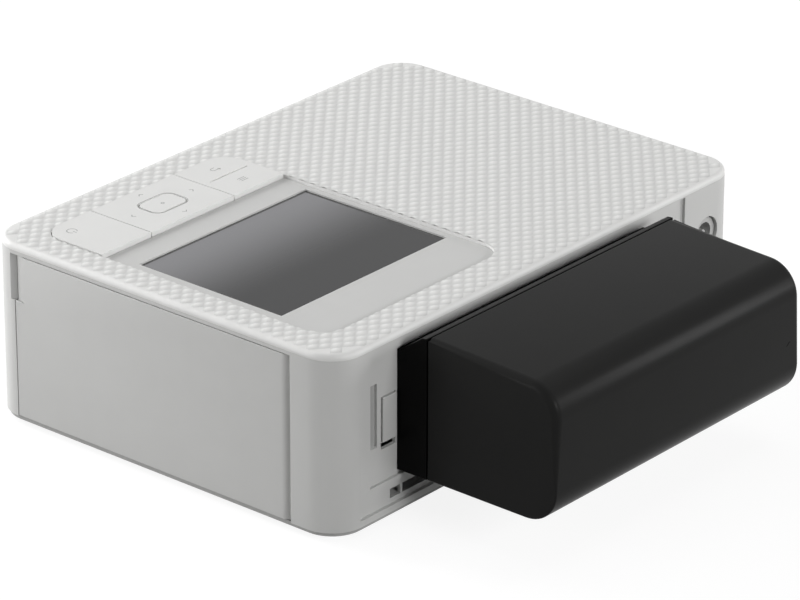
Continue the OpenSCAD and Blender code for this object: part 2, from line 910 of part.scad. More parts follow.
module paper_door_pin() {
    color("silver") rod_x(paper_x0 - gap - lug_w, paper_x1 + gap + lug_w, flap_y, flap_z, pin_r);
}

// Sheet-metal side plate on the drive side, with a foot and a shelf for the board
module drive_side_frame() {
    color("lightsteelblue") difference() {
        union() {
            block(frame_x0 - sheet, frame_x0, -frame_y, frame_y, base_top, frame_top);
            block(frame_x0 - sheet, frame_x0 + flange_w, -frame_y, -frame_y + flange_w,
                base_top, base_top + sheet);
            block(frame_x0 - sheet, frame_x0 + flange_w, frame_y - flange_w, frame_y,
                base_top, base_top + sheet);
            block(frame_x0 - sheet, frame_x0 + flange_w, -frame_y, main_y0 + flange_w,
                frame_top - sheet, frame_top);
        }
        for (p = shaft_places) rod_x(frame_x0 - sheet - over, frame_x0 + over, p[0], p[1], bush_r + fit);
        rod_x(frame_x0 - sheet - over, frame_x0 + over, takeup_y, spool_z, bush_r + fit);
        rod_x(frame_x0 - sheet - over, frame_x0 + over, head_y, head_z, journal_r + fit);
    }
}

// Sheet-metal side plate on the door side, with the opening for the ink cassette
module door_side_frame() {
    color("lightsteelblue") difference() {
        union() {
            block(frame_x1, frame_x1 + sheet, -frame_y, frame_y, base_top, frame_top);
            block(frame_x1 - flange_w, frame_x1 + sheet, -frame_y, -frame_y + flange_w,
                base_top, base_top + sheet);
            block(frame_x1 - flange_w, frame_x1 + sheet, frame_y - flange_w, frame_y,
                base_top, base_top + sheet);
        }
        block(frame_x1 - over, frame_x1 + sheet + over,
            supply_y - tube_r - 3 * gap, takeup_y + tube_r + 3 * gap,
            rail_top - rail_t - gap, spool_z + tube_r + 3 * gap);
        for (p = shaft_places) rod_x(frame_x1 - over, frame_x1 + sheet + over, p[0], p[1], bush_r + fit);
        rod_x(frame_x1 - over, frame_x1 + sheet + over, head_y, head_z, journal_r + fit);
    }
}

// Plates that tie the two side frames
module cross_plates() {
    color("lightsteelblue") {
        block(frame_x0, frame_x1, -frame_y + cross_front_y, -frame_y + cross_front_y + sheet,
            cross_front_z, frame_top - card_h - gap);
        block(frame_x0, frame_x1, cross_rear_y, cross_rear_y + sheet, cross_rear_z, frame_top);
    }
}

// A flanged bush seen from outside the frame, its rim on the outer face
module bush(x0, x1, rim_x, y, z) {
    difference() {
        union() {
            rod_x(min(x0, rim_x), max(x1, rim_x + bush_rim_t), y, z, bush_r);
            rod_x(rim_x, rim_x + bush_rim_t, y, z, bush_r + bush_rim);
        }
        rod_x(rim_x - over, x1 + sheet + over, y, z, journal_r + fit);
        rod_x(x0 - over, x1 + over, y, z, journal_r + fit);
    }
}

module shaft_bushings() {
    color("goldenrod") {
        for (p = concat(shaft_places, [[takeup_y, spool_z]]))
            bush(frame_x0 - sheet, frame_x0, bush_x, p[0], p[1]);
        for (p = shaft_places)
            bush(frame_x1, frame_x1 + sheet, frame_x1 + sheet, p[0], p[1]);
    }
}

// Lower paper guide between the platen and the exit, on ribs from the base plate
module paper_guide() {
    mouth_z = exit_z0 - nip;
    color("dimgray") along_x(frame_x0 + flange_w + gap, frame_x1 - flange_w - gap) {
        polygon([
            [platen_y + platen_r + guide_room, base_top],
            [platen_y + platen_r + guide_room, platen_z + platen_r - guide_step],
            [feed_y - pinch_r - roller_room, feed_z - feed_r - guide_step],
            [feed_y - pinch_r - roller_room, base_top]
        ]);
        polygon([
            [feed_y + pinch_r + roller_room, base_top],
            [feed_y + pinch_r + roller_room, feed_z - feed_r - guide_step],
            [back_y - wall, mouth_z],
            [back_y - wall, base_top]
        ]);
    }
}

// Plate that carries the motor beside the gears
module motor_plate() {
    color("lightsteelblue") difference() {
        block(motor_x, motor_x + sheet, plate_y0, plate_y1, base_top, plate_z1);
        rod_x(motor_x - over, motor_x + sheet + over, pinion_y, pinion_z, motor_boss_r + fit);
        rod_x(motor_x - over, motor_x + sheet + over, feed_y, feed_z, journal_r + fit);
        rod_x(motor_x - over, motor_x + sheet + over, takeup_y, spool_z, journal_r + fit);
    }
}

// Spacers between the drive side frame and the motor plate
module plate_posts() {
    color("silver") for (p = [
        [plate_y0 + post_in, base_top + post_in], [plate_y0 + post_in, plate_z1 - post_in],
        [plate_y1 - post_in, base_top + post_in], [plate_y1 - post_in, plate_z1 - post_in]
    ]) rod_x(motor_x + sheet, frame_x0 - sheet, p[0], p[1], post_r);
}

// Stepper motor with its mounting ears and its pilot boss
module feed_motor() {
    color("slategray") difference() {
        union() {
            rod_x(motor_x - motor_l, motor_x, pinion_y, pinion_z, motor_r);
            rod_x(motor_x - sheet, motor_x + sheet, pinion_y, pinion_z, motor_boss_r);
            for (s = [-1, 1]) rod_x(motor_x - sheet, motor_x, pinion_y, pinion_z + s * ear_at, ear_r);
            block(motor_x - sheet, motor_x, pinion_y - ear_r, pinion_y + ear_r,
                pinion_z - ear_at, pinion_z + ear_at);
        }
        rod_x(motor_x - motor_l / 2, motor_x + sheet + over, pinion_y, pinion_z, motor_shaft_r + fit);
    }
}

module motor_pinion() {
    color("ivory") {
        gear(gear_x, pinion_y, pinion_z, pinion_teeth, pinion_phase);
        rod_x(motor_x - motor_l / 2 + over, gear_x + gear_w, pinion_y, pinion_z, motor_shaft_r);
    }
}

// Toothed belt loop from the feed roller to the pickup shaft
module drive_belt() {
    run = norm([feed_y - pickup_y, feed_z - pickup_z]);
    turn = atan2(pickup_z - feed_z, pickup_y - feed_y);
    inner = pulley_r + belt_gap;
    color("black") translate([0, feed_y, feed_z]) along_x(belt_x, belt_x + belt_w)
        rotate(turn) difference() {
            belt_loop(run, inner + belt_t);
            belt_loop(run, inner);
        }
}

// A long loop round two pulleys of one radius
module belt_loop(run, r) {
    circle(r);
    translate([run, 0]) circle(r);
    translate([0, -r]) square([run, 2 * r]);
}

// Steel roller that drives the paper
module feed_roller() {
    color("silver") {
        rod_x(roller_x0, roller_x1, feed_y, feed_z, feed_r);
        rod_x(motor_x + sheet - fit, frame_x1 + sheet + bush_rim_t + shaft_end, feed_y, feed_z, journal_r);
    }
}

// Gear and belt pulley in one piece, on the feed roller's journal
module feed_gear() {
    color("ivory") difference() {
        union() {
            gear(gear_x, feed_y, feed_z, feed_teeth, 0);
            rod_x(gear_x, belt_x + belt_w, feed_y, feed_z, pulley_r);
        }
        rod_x(gear_x - over, belt_x + belt_w + over, feed_y, feed_z, journal_r);
    }
}

module pinch_roller() {
    color("dimgray") {
        rod_x(roller_x0, roller_x1, feed_y, pinch_z, pinch_r);
        rod_x(bush_x - 2 * fit, frame_x1 + sheet + bush_rim_t + shaft_end, feed_y, pinch_z, journal_r);
    }
}

module platen_shaft() {
    color("silver")
        rod_x(bush_x - 2 * fit, frame_x1 + sheet + bush_rim_t + shaft_end, platen_y, platen_z, journal_r);
}

module platen_rubber() {
    color("dimgray") difference() {
        rod_x(roller_x0, roller_x1, platen_y, platen_z, platen_r);
        rod_x(roller_x0 - over, roller_x1 + over, platen_y, platen_z, journal_r);
    }
}

// Pickup shaft with its belt pulley
module pickup_shaft() {
    color("silver") {
        rod_x(belt_x, frame_x1 + sheet + bush_rim_t + shaft_end, pickup_y, pickup_z, journal_r);
        rod_x(belt_x, belt_x + belt_w, pickup_y, pickup_z, pulley_r);
    }
}

module pickup_wheels() {
    color("dimgray") for (s = [-1, 1]) difference() {
        rod_x(paper_x + s * pickup_gap / 2 - pickup_w / 2, paper_x + s * pickup_gap / 2 + pickup_w / 2,
            pickup_y, pickup_z, pickup_r);
        rod_x(paper_x - pickup_gap, paper_x + pickup_gap, pickup_y, pickup_z, journal_r);
    }
}

// Gear and drive dog that turn the take-up spool
module ribbon_hub() {
    color("ivory") {
        gear(gear_x, takeup_y, spool_z, hub_teeth, hub_phase);
        rod_x(motor_x + sheet - fit, cassette_x - gap, takeup_y, spool_z, journal_r);
        rod_x(frame_x0 + gap, cassette_x - gap, takeup_y, spool_z, neck_r);
        rod_x(frame_x0 + gap, cassette_x + coupler_l, takeup_y, spool_z, coupler_r);
    }
}

// Arm that swings the print head down, with a lug at each end for its shaft
module head_arm() {
    color("silver") difference() {
        union() {
            block(arm_x0, arm_x1, spool_y - sink_d, head_y, arm_z, arm_z + arm_t);
            for (x = [arm_x0, arm_x1 - lug_t]) {
                rod_x(x, x + lug_t, head_y, head_z, arm_lug_r);
                block(x, x + lug_t, head_y - arm_lug_r, head_y, head_z, arm_z + arm_t);
            }
        }
        for (x = [arm_x0, arm_x1 - lug_t])
            rod_x(x - over, x + lug_t + over, head_y, head_z, journal_r + fit);
    }
}

module head_shaft() {
    color("silver") rod_x(frame_x0 - sheet - gap, frame_x1 + sheet + gap, head_y, head_z, journal_r);
}

// Finned block under the arm
module heat_sink() {
    color("lightgray") difference() {
        block(sink_x0, sink_x1, spool_y - sink_d / 2, spool_y + sink_d / 2, sink_low, arm_z);
        for (i = [0 : fin_count - 1])
            block(sink_x0 - over, sink_x1 + over,
                spool_y - sink_d / 2 + (i + 0.5) * sink_d / fin_count - fin_w / 2,
                spool_y - sink_d / 2 + (i + 0.5) * sink_d / fin_count + fin_w / 2,
                arm_z - fin_h, arm_z + over);
    }
}

// Heating bar on its ceramic plate
module print_head() {
    color("linen") {
        block(sink_x0, sink_x1, spool_y - glaze_w, spool_y + glaze_w, sink_low - bar_h, sink_low);
        block(sink_x0, sink_x1, spool_y - glaze_w / 2, spool_y + glaze_w / 2,
            sink_low - bar_h - glaze_h, sink_low - bar_h / 2);
    }
}

// Cassette: two spool tubes on two end rails, with a grip at the door end
module cassette_shell() {
    color("gray") {
        for (y = [supply_y, takeup_y]) spool_tube(y, y == supply_y ? 1 : -1);
        for (x = [cassette_x, cassette_end - rail_w]) difference() {
            block(x, x + rail_w, supply_y, takeup_y, rail_top - rail_t, rail_top);
            for (y = [supply_y, takeup_y])
                rod_x(cassette_x - over, cassette_end + over, y, spool_z, tube_r - cassette_t);
        }
        difference() {
            block(cassette_end - grip_t, cassette_end, supply_y, takeup_y,
                rail_top - rail_t, rail_top + grip_h);
            for (y = [supply_y, takeup_y])
                rod_x(cassette_x - over, cassette_end + over, y, spool_z, tube_r - cassette_t);
        }
    }
}

// One tube with its end caps and its ribbon slit, which faces the other tube
module spool_tube(y, side) {
    difference() {
        rod_x(cassette_x, cassette_end, y, spool_z, tube_r);
        rod_x(cassette_x + grip_t, cassette_end - grip_t, y, spool_z, tube_r - cassette_t);
        rod_x(cassette_x - over, cassette_x + grip_t + over, y, spool_z, core_r + fit);
        rod_x(cassette_end - grip_t - over, cassette_end + over, y, spool_z, journal_r + fit);
        block(cassette_x + rail_w, cassette_end - rail_w,
            min(y, y + side * tube_r), max(y, y + side * tube_r),
            spool_z - tube_r - over, spool_z - tube_r + slit_h);
    }
}

// Spool core: a hollow neck at the drive end and a journal at the door end
module spool_core(y) {
    difference() {
        union() {
            rod_x(cassette_x, cassette_end - grip_t - gap, y, spool_z, core_r);
            rod_x(cassette_end - grip_t - gap - over, cassette_end, y, spool_z, journal_r);
        }
        rod_x(cassette_x - over, cassette_x + socket_l, y, spool_z, socket_r);
    }
}

module supply_spool() {
    color("white") spool_core(supply_y);
}

module takeup_spool() {
    color("white") spool_core(takeup_y);
}

// Film wound on the supply spool
module ribbon_roll() {
    mid = (cassette_x + cassette_end) / 2;
    color("indigo") difference() {
        rod_x(mid - film_w / 2, mid + film_w / 2, supply_y, spool_z, roll_r);
        rod_x(mid - film_w / 2 - over, mid + film_w / 2 + over, supply_y, spool_z, core_r);
    }
}

// Film stretched across the window, on the rails
module ribbon_film() {
    color("indigo")
        block(cassette_x + grip_t + gap, cassette_end - grip_t - gap, supply_y + film_in, takeup_y - film_in,
            rail_top, rail_top + film_t);
}

module main_board() {
    color("darkgreen") block(main_x0, main_x1, main_y0, main_y1, main_z, main_z + main_t);
}

// Chips and connectors on top of the main board, as shares of its size
module board_parts() {
    w = main_x1 - main_x0;
    d = main_y1 - main_y0;
    chip_shares = [
        [0.2, 0.3, 0.2, 0.16], [0.55, 0.2, 0.12, 0.1],
        [0.6, 0.8, 0.18, 0.08], [0.15, 0.75, 0.1, 0.12]
    ];
    color("black") {
        for (c = chip_shares)
            block(main_x0 + w * c[0], main_x0 + w * (c[0] + c[2]),
                main_y0 + d * c[1], main_y0 + d * (c[1] + c[3]),
                main_z + main_t, main_z + main_t + part_h / 2);
        block(main_x1 - part_h * 2, main_x1 - part_h,
            cable_y - cable_w / 2 - 1.5 * gap, cable_y + cable_w / 2 + 1.5 * gap,
            main_z + main_t, main_z + main_t + part_h / 2);
    }
}

// Card reader under the board, behind the slot in the front wall
module card_socket() {
    y0 = front_y + wall + gap;
    color("silver") difference() {
        block(card_x - card_w / 2, card_x + card_w / 2, y0, y0 + card_d, main_z - card_h, main_z);
        block(card_x - slot_w / 2, card_x + slot_w / 2, y0 - over, y0 + card_d - wall,
            main_z - card_h / 2 - slot_h / 2, main_z - card_h / 2 + slot_h / 2);
    }
}

// Socket under the board, in the power side's wall
module usb_socket() {
    x0 = -side_x + wall / 2;
    color("silver") {
        difference() {
            block(x0, x0 + usb_d, usb_y - usb_w / 2, usb_y + usb_w / 2, main_z - usb_h, main_z);
            block(x0 - over, x0 + usb_d - usb_wall,
                usb_y - usb_w / 2 + usb_wall, usb_y + usb_w / 2 - usb_wall,
                main_z - usb_h + usb_wall, main_z - usb_wall);
        }
        block(x0 + gap, x0 + usb_d - usb_wall / 2,
            usb_y - usb_w / 2 + 3 * usb_wall, usb_y + usb_w / 2 - 3 * usb_wall,
            main_z - usb_h / 2, main_z - usb_h / 2 + 2 * usb_wall);
    }
}

// Round power socket with its centre pin
module dc_inlet() {
    mouth = back_y - inlet_in;
    color("black") {
        difference() {
            union() {
                rod_y(inlet_x, back_y - wall - over, mouth, inlet_z, inlet_r);
                block(inlet_x - inlet_w / 2, inlet_x + inlet_w / 2, back_y - wall - inlet_l, back_y - wall,
                    inlet_z - inlet_w / 2 - gap, inlet_z + inlet_w / 2 + gap);
            }
            rod_y(inlet_x, mouth - inlet_deep, mouth + over, inlet_z, inlet_bore);
        }
        rod_y(inlet_x, mouth - inlet_deep - over, mouth - gap, inlet_z, inlet_pin);
    }
}

// Contact block that the adapter plugs into
module battery_terminals() {
    face = back_y - bay_deep;
    color("black") difference() {
        union() {
            block(term_x - term_w / 2 + fit, term_x + term_w / 2 - fit, back_y - wall - over, face,
                term_z - term_h / 2 + fit, term_z + term_h / 2 - fit);
            block(term_x - term_w / 2 - wall / 2, term_x + term_w / 2 + wall / 2,
                back_y - wall - term_l, back_y - wall,
                term_z - term_h / 2 - wall / 2, term_z + term_h / 2 + wall / 2);
        }
        block(term_x - plug_w / 2 - plug_fit, term_x + plug_w / 2 + plug_fit,
            face - plug_l - plug_fit, face + over,
            term_z - plug_h / 2 - plug_fit, term_z + plug_h / 2 + plug_fit);
    }
}

// Sliding catch beside the battery
module battery_release() {
    back = back_y - wall - gap;
    color("gainsboro") {
        block(latch_x0, latch_x1, back_y - wall, back_y - bay_deep + latch_proud, latch_z0, latch_z1);
        block(latch_x0 - latch_foot, latch_x1 + latch_foot, back - latch_foot, back,
            latch_z0 - latch_foot, latch_z1 + latch_foot);
        block(latch_x0 + gap, latch_x1 - gap, back - latch_foot / 2, back_y - wall + gap,
            latch_z0 + gap, latch_z1 - gap);
    }
}

// Adapter plate between the body and the battery
module battery_adapter() {
    y0 = back_y - bay_deep;
    color("black") {
        along_x(battery_x0, battery_x1) polygon([
            [y0, battery_z], [battery_y0, battery_z], [battery_y0, battery_top],
            [battery_y0 - adapter_crest, battery_top - adapter_dip],
            [back_y + seam, adapter_top], [y0, adapter_top]
        ]);
        block(term_x - plug_w / 2, term_x + plug_w / 2, y0 - plug_l, y0 + over,
            term_z - plug_h / 2, term_z + plug_h / 2);
    }
}

// Outline of the battery in Y and Z, drawn in by a margin, between two X values
module battery_form(in, x0, x1) {
    y0 = battery_y0 + seam + in;
    y1 = battery_y1 - in;
    z0 = battery_z + in;
    z1 = battery_top - in;
    hull() {
        for (turn = [0, 45, 90]) {
            e = end_r * (1 - cos(turn));
            a = x0 + end_r * (1 - sin(turn));
            b = x1 - end_r * (1 - sin(turn));
            foot_e = e * foot_end_share;
            foot_a = x0 + (a - x0) * foot_end_share;
            foot_b = x1 + (b - x1) * foot_end_share;
            rod_x(foot_a, foot_b, y0 + inner_r, z0 + foot_e + inner_r, inner_r, $fn = 16);
            rod_x(foot_a, foot_b, y1 - lower_r, z0 + lower_r, lower_r - foot_e, $fn = 48);
            rod_x(a, b, y0 + inner_r, z1 - e - inner_r, inner_r, $fn = 16);
            rod_x(a, b, y1 - outer_r, z1 - top_fall - outer_r, outer_r - e, $fn = 48);
        }
    }
}

// Battery shell, open towards the adapter
module battery_case() {
    color("black") difference() {
        battery_form(0, battery_x0, battery_x1);
        battery_form(shell_t, battery_x0 + shell_t, battery_x1 - shell_t);
        block(battery_x0 + 2 * shell_t, battery_x1 - 2 * shell_t,
            battery_y0 - over, battery_y0 + shell_t + 3 * seam,
            battery_z + 2 * shell_t, battery_top - 2 * shell_t);
    }
}

// Plate that closes the battery shell
module battery_lid() {
    color("black")
        block(battery_x0 + 2 * shell_t + fit, battery_x1 - 2 * shell_t - fit, battery_y0 + seam,
            battery_y0 + lid_t, battery_z + 2 * shell_t + fit, battery_top - 2 * shell_t - fit);
}

// Four cells in two rows
module battery_cells() {
    y = battery_y0 + lid_t + cell_r + cell_gap;
    z = battery_z + shell_t + cell_r + cell_gap;
    step = 2 * cell_r + cell_gap;
    x = (battery_x0 + battery_x1 - cell_l) / 2;
    color("teal") for (i = [0, 1], j = [0, 1]) rod_x(x, x + cell_l, y + i * step, z + j * step, cell_r);
}

translate([0, shift_y, 0]) housing();
translate([0, shift_y, 0]) base_plate();
translate([0, shift_y, 0]) rubber_feet();
translate([0, shift_y, 0]) case_screws();
translate([0, shift_y, 0]) top_cover();
translate([0, shift_y, 0]) screen_plate();
translate([0, shift_y, 0]) screen_glass();
translate([0, shift_y, 0]) screen_module();
translate([0, shift_y, 0]) screen_cable();
translate([0, shift_y, 0]) key_frame();
translate([0, shift_y, 0]) key_board();
translate([0, shift_y, 0]) key_switches();
translate([0, shift_y, 0]) power_key();
translate([0, shift_y, 0]) ok_key();
translate([0, shift_y, 0]) pad_pivot();
translate([0, shift_y, 0]) direction_pad();
translate([0, shift_y, 0]) menu_rocker();
translate([0, shift_y, 0]) ink_door();
translate([0, shift_y, 0]) ink_door_pin();
translate([0, shift_y, 0]) paper_door();
translate([0, shift_y, 0]) paper_door_pin();
translate([0, shift_y, 0]) drive_side_frame();
translate([0, shift_y, 0]) door_side_frame();
translate([0, shift_y, 0]) cross_plates();
translate([0, shift_y, 0]) shaft_bushings();
translate([0, shift_y, 0]) paper_guide();
translate([0, shift_y, 0]) motor_plate();
translate([0, shift_y, 0]) plate_posts();
translate([0, shift_y, 0]) feed_motor();
translate([0, shift_y, 0]) motor_pinion();
translate([0, shift_y, 0]) drive_belt();
translate([0, shift_y, 0]) feed_roller();
translate([0, shift_y, 0]) feed_gear();
translate([0, shift_y, 0]) pinch_roller();
translate([0, shift_y, 0]) platen_shaft();
translate([0, shift_y, 0]) platen_rubber();
translate([0, shift_y, 0]) pickup_shaft();
translate([0, shift_y, 0]) pickup_wheels();
translate([0, shift_y, 0]) ribbon_hub();
translate([0, shift_y, 0]) head_arm();
translate([0, shift_y, 0]) print_head();
translate([0, shift_y, 0]) heat_sink();
translate([0, shift_y, 0]) head_shaft();
translate([0, shift_y, 0]) cassette_shell();
translate([0, shift_y, 0]) supply_spool();
translate([0, shift_y, 0]) takeup_spool();
translate([0, shift_y, 0]) ribbon_roll();
translate([0, shift_y, 0]) ribbon_film();
translate([0, shift_y, 0]) main_board();
translate([0, shift_y, 0]) board_parts();
translate([0, shift_y, 0]) card_socket();
translate([0, shift_y, 0]) usb_socket();
translate([0, shift_y, 0]) dc_inlet();
translate([0, shift_y, 0]) battery_terminals();
translate([0, shift_y, 0]) battery_release();
translate([0, shift_y, 0]) battery_adapter();
translate([0, shift_y, 0]) battery_case();
translate([0, shift_y, 0]) battery_lid();
translate([0, shift_y, 0]) battery_cells();
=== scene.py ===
"""Looks of a compact photo printer with a clip-on battery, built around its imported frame.

+X is the ink cassette side, -Y the front with the paper door, +Y the battery, +Z up. Lengths are in metres.
"""

import json
import math

import bmesh
import bpy
from mathutils import Matrix, Vector

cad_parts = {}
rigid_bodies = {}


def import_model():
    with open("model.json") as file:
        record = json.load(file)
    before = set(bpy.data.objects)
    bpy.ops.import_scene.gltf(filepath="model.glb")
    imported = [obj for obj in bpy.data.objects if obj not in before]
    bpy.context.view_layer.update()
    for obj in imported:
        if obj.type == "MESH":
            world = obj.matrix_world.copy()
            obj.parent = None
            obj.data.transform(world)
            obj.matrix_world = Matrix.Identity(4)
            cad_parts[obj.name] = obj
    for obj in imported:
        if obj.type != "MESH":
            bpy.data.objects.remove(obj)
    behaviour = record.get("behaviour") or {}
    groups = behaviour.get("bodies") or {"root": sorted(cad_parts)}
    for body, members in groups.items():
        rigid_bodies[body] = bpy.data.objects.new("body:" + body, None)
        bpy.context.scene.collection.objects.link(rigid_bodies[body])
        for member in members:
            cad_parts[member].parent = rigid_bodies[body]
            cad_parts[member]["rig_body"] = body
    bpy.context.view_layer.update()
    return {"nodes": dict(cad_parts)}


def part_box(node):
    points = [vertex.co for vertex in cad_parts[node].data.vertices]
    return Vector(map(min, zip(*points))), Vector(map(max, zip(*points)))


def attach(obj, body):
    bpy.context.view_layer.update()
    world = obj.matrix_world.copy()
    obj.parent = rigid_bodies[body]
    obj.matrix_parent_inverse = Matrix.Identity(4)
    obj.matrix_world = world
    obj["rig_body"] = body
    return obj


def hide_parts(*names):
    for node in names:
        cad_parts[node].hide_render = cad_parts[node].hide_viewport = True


MM = 0.001

# Camera, as fitted to the photograph
CAMERA_AT = Vector((1023.8, 854.8, 638.3)) * MM
CAMERA_AZIMUTH = math.radians(130.38)
CAMERA_ELEVATION = math.radians(24.42)
CAMERA_ROLL = math.radians(0.09)
IMAGE_WIDTH_PX = 800
FOCAL_PX = 5043.2
SENSOR_WIDTH = 36.0

# Casing, and the panel with the keys and the screen
CORNER_R = 10.65 * MM
RIM_R = 1.6 * MM
PANEL_R = 8 * MM
PANEL_FLANGE = 2 * MM
PANEL_GAP = 0.3 * MM

# Softened edges
HOUSING_EDGE = 0.22 * MM
BASE_EDGE = 0.3 * MM
INK_DOOR_EDGE = 0.2 * MM
PAPER_DOOR_EDGE = 0.25 * MM
PLATE_EDGE = 0.12 * MM
KEY_EDGE = 0.14 * MM
GLASS_EDGE = 0.05 * MM
ADAPTER_EDGE = 0.25 * MM
ADAPTER_EDGE_STEPS = 3
EDGE_WELD = 0.002 * MM
EDGE_ANGLE = math.radians(40)

# Studs of the top cover: rounded bumps on rhombi
STUD_COLUMNS = 35
STUD_ROWS = 31
STUD_IN_X = 0.65 * MM
STUD_IN_Y = 0.6 * MM
STUD_BORDER = 0.55 * MM
STUD_CORNER_IN = 1.1 * MM
STUD_H = 0.48 * MM
STUD_STEPS = 4
STUD_POWER = 1.4
# Painted shade in the studs' valleys and painted light on their crests, set by height
STUD_VALLEY_PAINTED_SHADE = 0.67
STUD_CREST_PAINTED_LIGHT = 0.90
STUD_PAINTED_LIGHT_SHARE = 0.9
STUD_GRAIN = 0.3 * MM
STUD_ROUGHNESS = (0.40, 0.48)
STUD_SPECULAR = 0.3
STUD_WELD = 0.001 * MM
STUD_SMOOTH_ANGLE = math.radians(33)
SKIN_LIFT = 0.01 * MM
CROSSING_STEPS = 12

# Screen
SCREEN_DARK = (0.008, 0.008, 0.009)
# The display's colour runs from its dark tone to a painted reflection, lighter towards the keys
SCREEN_PAINTED_REFLECTION = (0.22, 0.22, 0.23)
SCREEN_SPECULAR = 0.27
SCREEN_PAINTED_REFLECTION_SHARE = 0.72
SCREEN_SMEAR = 12 * MM
SCREEN_ROUGHNESS = (0.10, 0.16)
# Painted shade of the window's recess wall along the display's edges, wider on the -X and -Y sides
MASK_PAINTED_SHADE_W = 0.9 * MM
MASK_THIN_PAINTED_SHADE_W = MASK_PAINTED_SHADE_W / 3

# Signs on the keys
SIGN_LIFT = 0.008 * MM
SIGN_W = 0.26 * MM
SIGN_MITRE_LEAST = 0.4
ARC_STEPS = 24
OK_R = 2.6 * MM
OK_OUTLINE_OUT = 0.62 * MM
OK_RING_R = 0.45 * MM
POWER_R = 1.5 * MM
POWER_IN_X = 6.5 * MM
POWER_DOWN = 6 * MM
POWER_ANGLES = (125, 415)
POWER_BAR_SHARES = (0.3, 1.25)
CHEVRON_ARM = 0.85 * MM
CHEVRON_SIDE = 13 * MM
CHEVRON_AHEAD = 9.4 * MM
MENU_OFF = 5.6 * MM
MENU_BAR = 1.5 * MM
MENU_BAR_GAP = 0.85 * MM
RETURN_TURN = 0.8 * MM
RETURN_HEAD = 0.6 * MM
RETURN_TURN_SHARE = 0.4

# Battery
BATTERY_END_R = 2.4 * MM
BATTERY_INNER_R = 0.5 * MM
BATTERY_FACE_IN = 0.1 * MM
BATTERY_SKIN_IN = 0.03 * MM
BATTERY_OUTER_R = 10.2 * MM
BATTERY_LOWER_R = 10.6 * MM
BATTERY_TOP_FALL = 1.4 * MM
BATTERY_FOOT_END_SHARE = 0.25
BATTERY_INSET_MOST_SHARE = 0.9
BATTERY_END_STEPS = 8
BATTERY_ARC_STEP = math.radians(6)
BATTERY_WELD = 0.0005 * MM
BATTERY_SMOOTH_ANGLE = math.radians(60)

# Slot in the side wall with painted shade on its floor, and the small hole at the battery's end drawn as
# painted shade
SLOT_X0 = 72.75 * MM
SLOT_X1 = 75.45 * MM
SLOT_Z0 = 24.25 * MM
SLOT_Z1 = 43.65 * MM
SLOT_DEPTH = 1.9 * MM
HOLE_IN = 4.9 * MM
HOLE_UP = 18.5 * MM
HOLE_W = 0.5 * MM
HOLE_H = 1.1 * MM
HOLE_LEAN = 0.7 * MM

# Materials
GREY_BLUE_SHARE = 0.985
NOISE_LOW = 0.3
NOISE_HIGH = 0.7
ROUGHNESS_SPREAD = 0.1
BOARD_PITCH = 14 * MM
BOARD_TRACK_SHARE = 0.012
BOARD_SHADE = 0.9
BOARD_PATCH = 3 * MM
BOARD_ROUGHNESS = (0.25, 0.38)

# Floor and world
FLOOR_HALF = 6.0
FLOOR_DROP = 0.05 * MM
FLOOR_ALBEDO = 0.35
FLOOR_SHADED = 0.9
FLOOR_GLOW = 1.12
FLOOR_SHADOW_SHARE = 0.22
AMBIENT = 0.03

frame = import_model()
bpy.context.scene.view_settings.view_transform = "Standard"


# Helpers for meshes

def new_object(name, bm, material):
    """A new object made from a bmesh, with one material."""
    mesh = bpy.data.meshes.new(name)
    bm.to_mesh(mesh)
    bm.free()
    mesh.materials.append(material)
    obj = bpy.data.objects.new(name, mesh)
    bpy.context.scene.collection.objects.link(obj)
    return obj


def box_corners(x0, x1, y0, y1):
    """The corners of a rectangle, going round once."""
    return [(x0, y0), (x1, y0), (x1, y1), (x0, y1)]


def smooth(obj, angle):
    """Smooth shading, with edges sharper than an angle kept."""
    for polygon in obj.data.polygons:
        polygon.use_smooth = True
    obj.data.set_sharp_from_angle(angle=angle)


def body_of(node):
    """The body that a CAD node moves with."""
    return frame["nodes"][node]["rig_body"]


def softened(node, material, edge, segments=2):
    """A copy of a CAD node with its sharp edges rounded a little, which replaces it."""
    bm = bmesh.new()
    bm.from_mesh(frame["nodes"][node].data)
    for layer in list(bm.loops.layers.uv):
        bm.loops.layers.uv.remove(layer)
    bmesh.ops.remove_doubles(bm, verts=bm.verts, dist=EDGE_WELD)
    obj = new_object(node + "_soft", bm, material)
    if "custom_normal" in obj.data.attributes:
        obj.data.attributes.remove(obj.data.attributes["custom_normal"])
    for polygon in obj.data.polygons:
        polygon.use_smooth = True
        polygon.material_index = 0
    bevel = obj.modifiers.new("edge", "BEVEL")
    bevel.width = edge
    bevel.segments = segments
    bevel.limit_method = "ANGLE"
    bevel.angle_limit = EDGE_ANGLE
    bevel.use_clamp_overlap = True
    bevel.harden_normals = True
    bevel.miter_outer = "MITER_ARC"
    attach(obj, body_of(node))
    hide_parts(node)


# Materials

def new_material(name):
    """An empty material with its shader: (material, nodes, links, shader)."""
    material = bpy.data.materials.new(name)
    material.use_nodes = True
    nodes = material.node_tree.nodes
    links = material.node_tree.links
    nodes.clear()
    out = nodes.new("ShaderNodeOutputMaterial")
    shader = nodes.new("ShaderNodeBsdfPrincipled")
    links.new(shader.outputs["BSDF"], out.inputs["Surface"])
    return material, nodes, links, shader


def object_point(nodes):
    """The shaded point in the object's own coordinates."""
    return nodes.new("ShaderNodeTexCoord").outputs["Object"]


def noise(nodes, links, size, detail=3.0, stretch=(1, 1, 1)):
    """Noise in the object's own coordinates, with features of a given size."""
    mapping = nodes.new("ShaderNodeMapping")
    mapping.inputs["Scale"].default_value = stretch
    texture = nodes.new("ShaderNodeTexNoise")
    texture.inputs["Scale"].default_value = 1 / size
    texture.inputs["Detail"].default_value = detail
    links.new(object_point(nodes), mapping.inputs["Vector"])
    links.new(mapping.outputs["Vector"], texture.inputs["Vector"])
    return texture.outputs["Fac"]


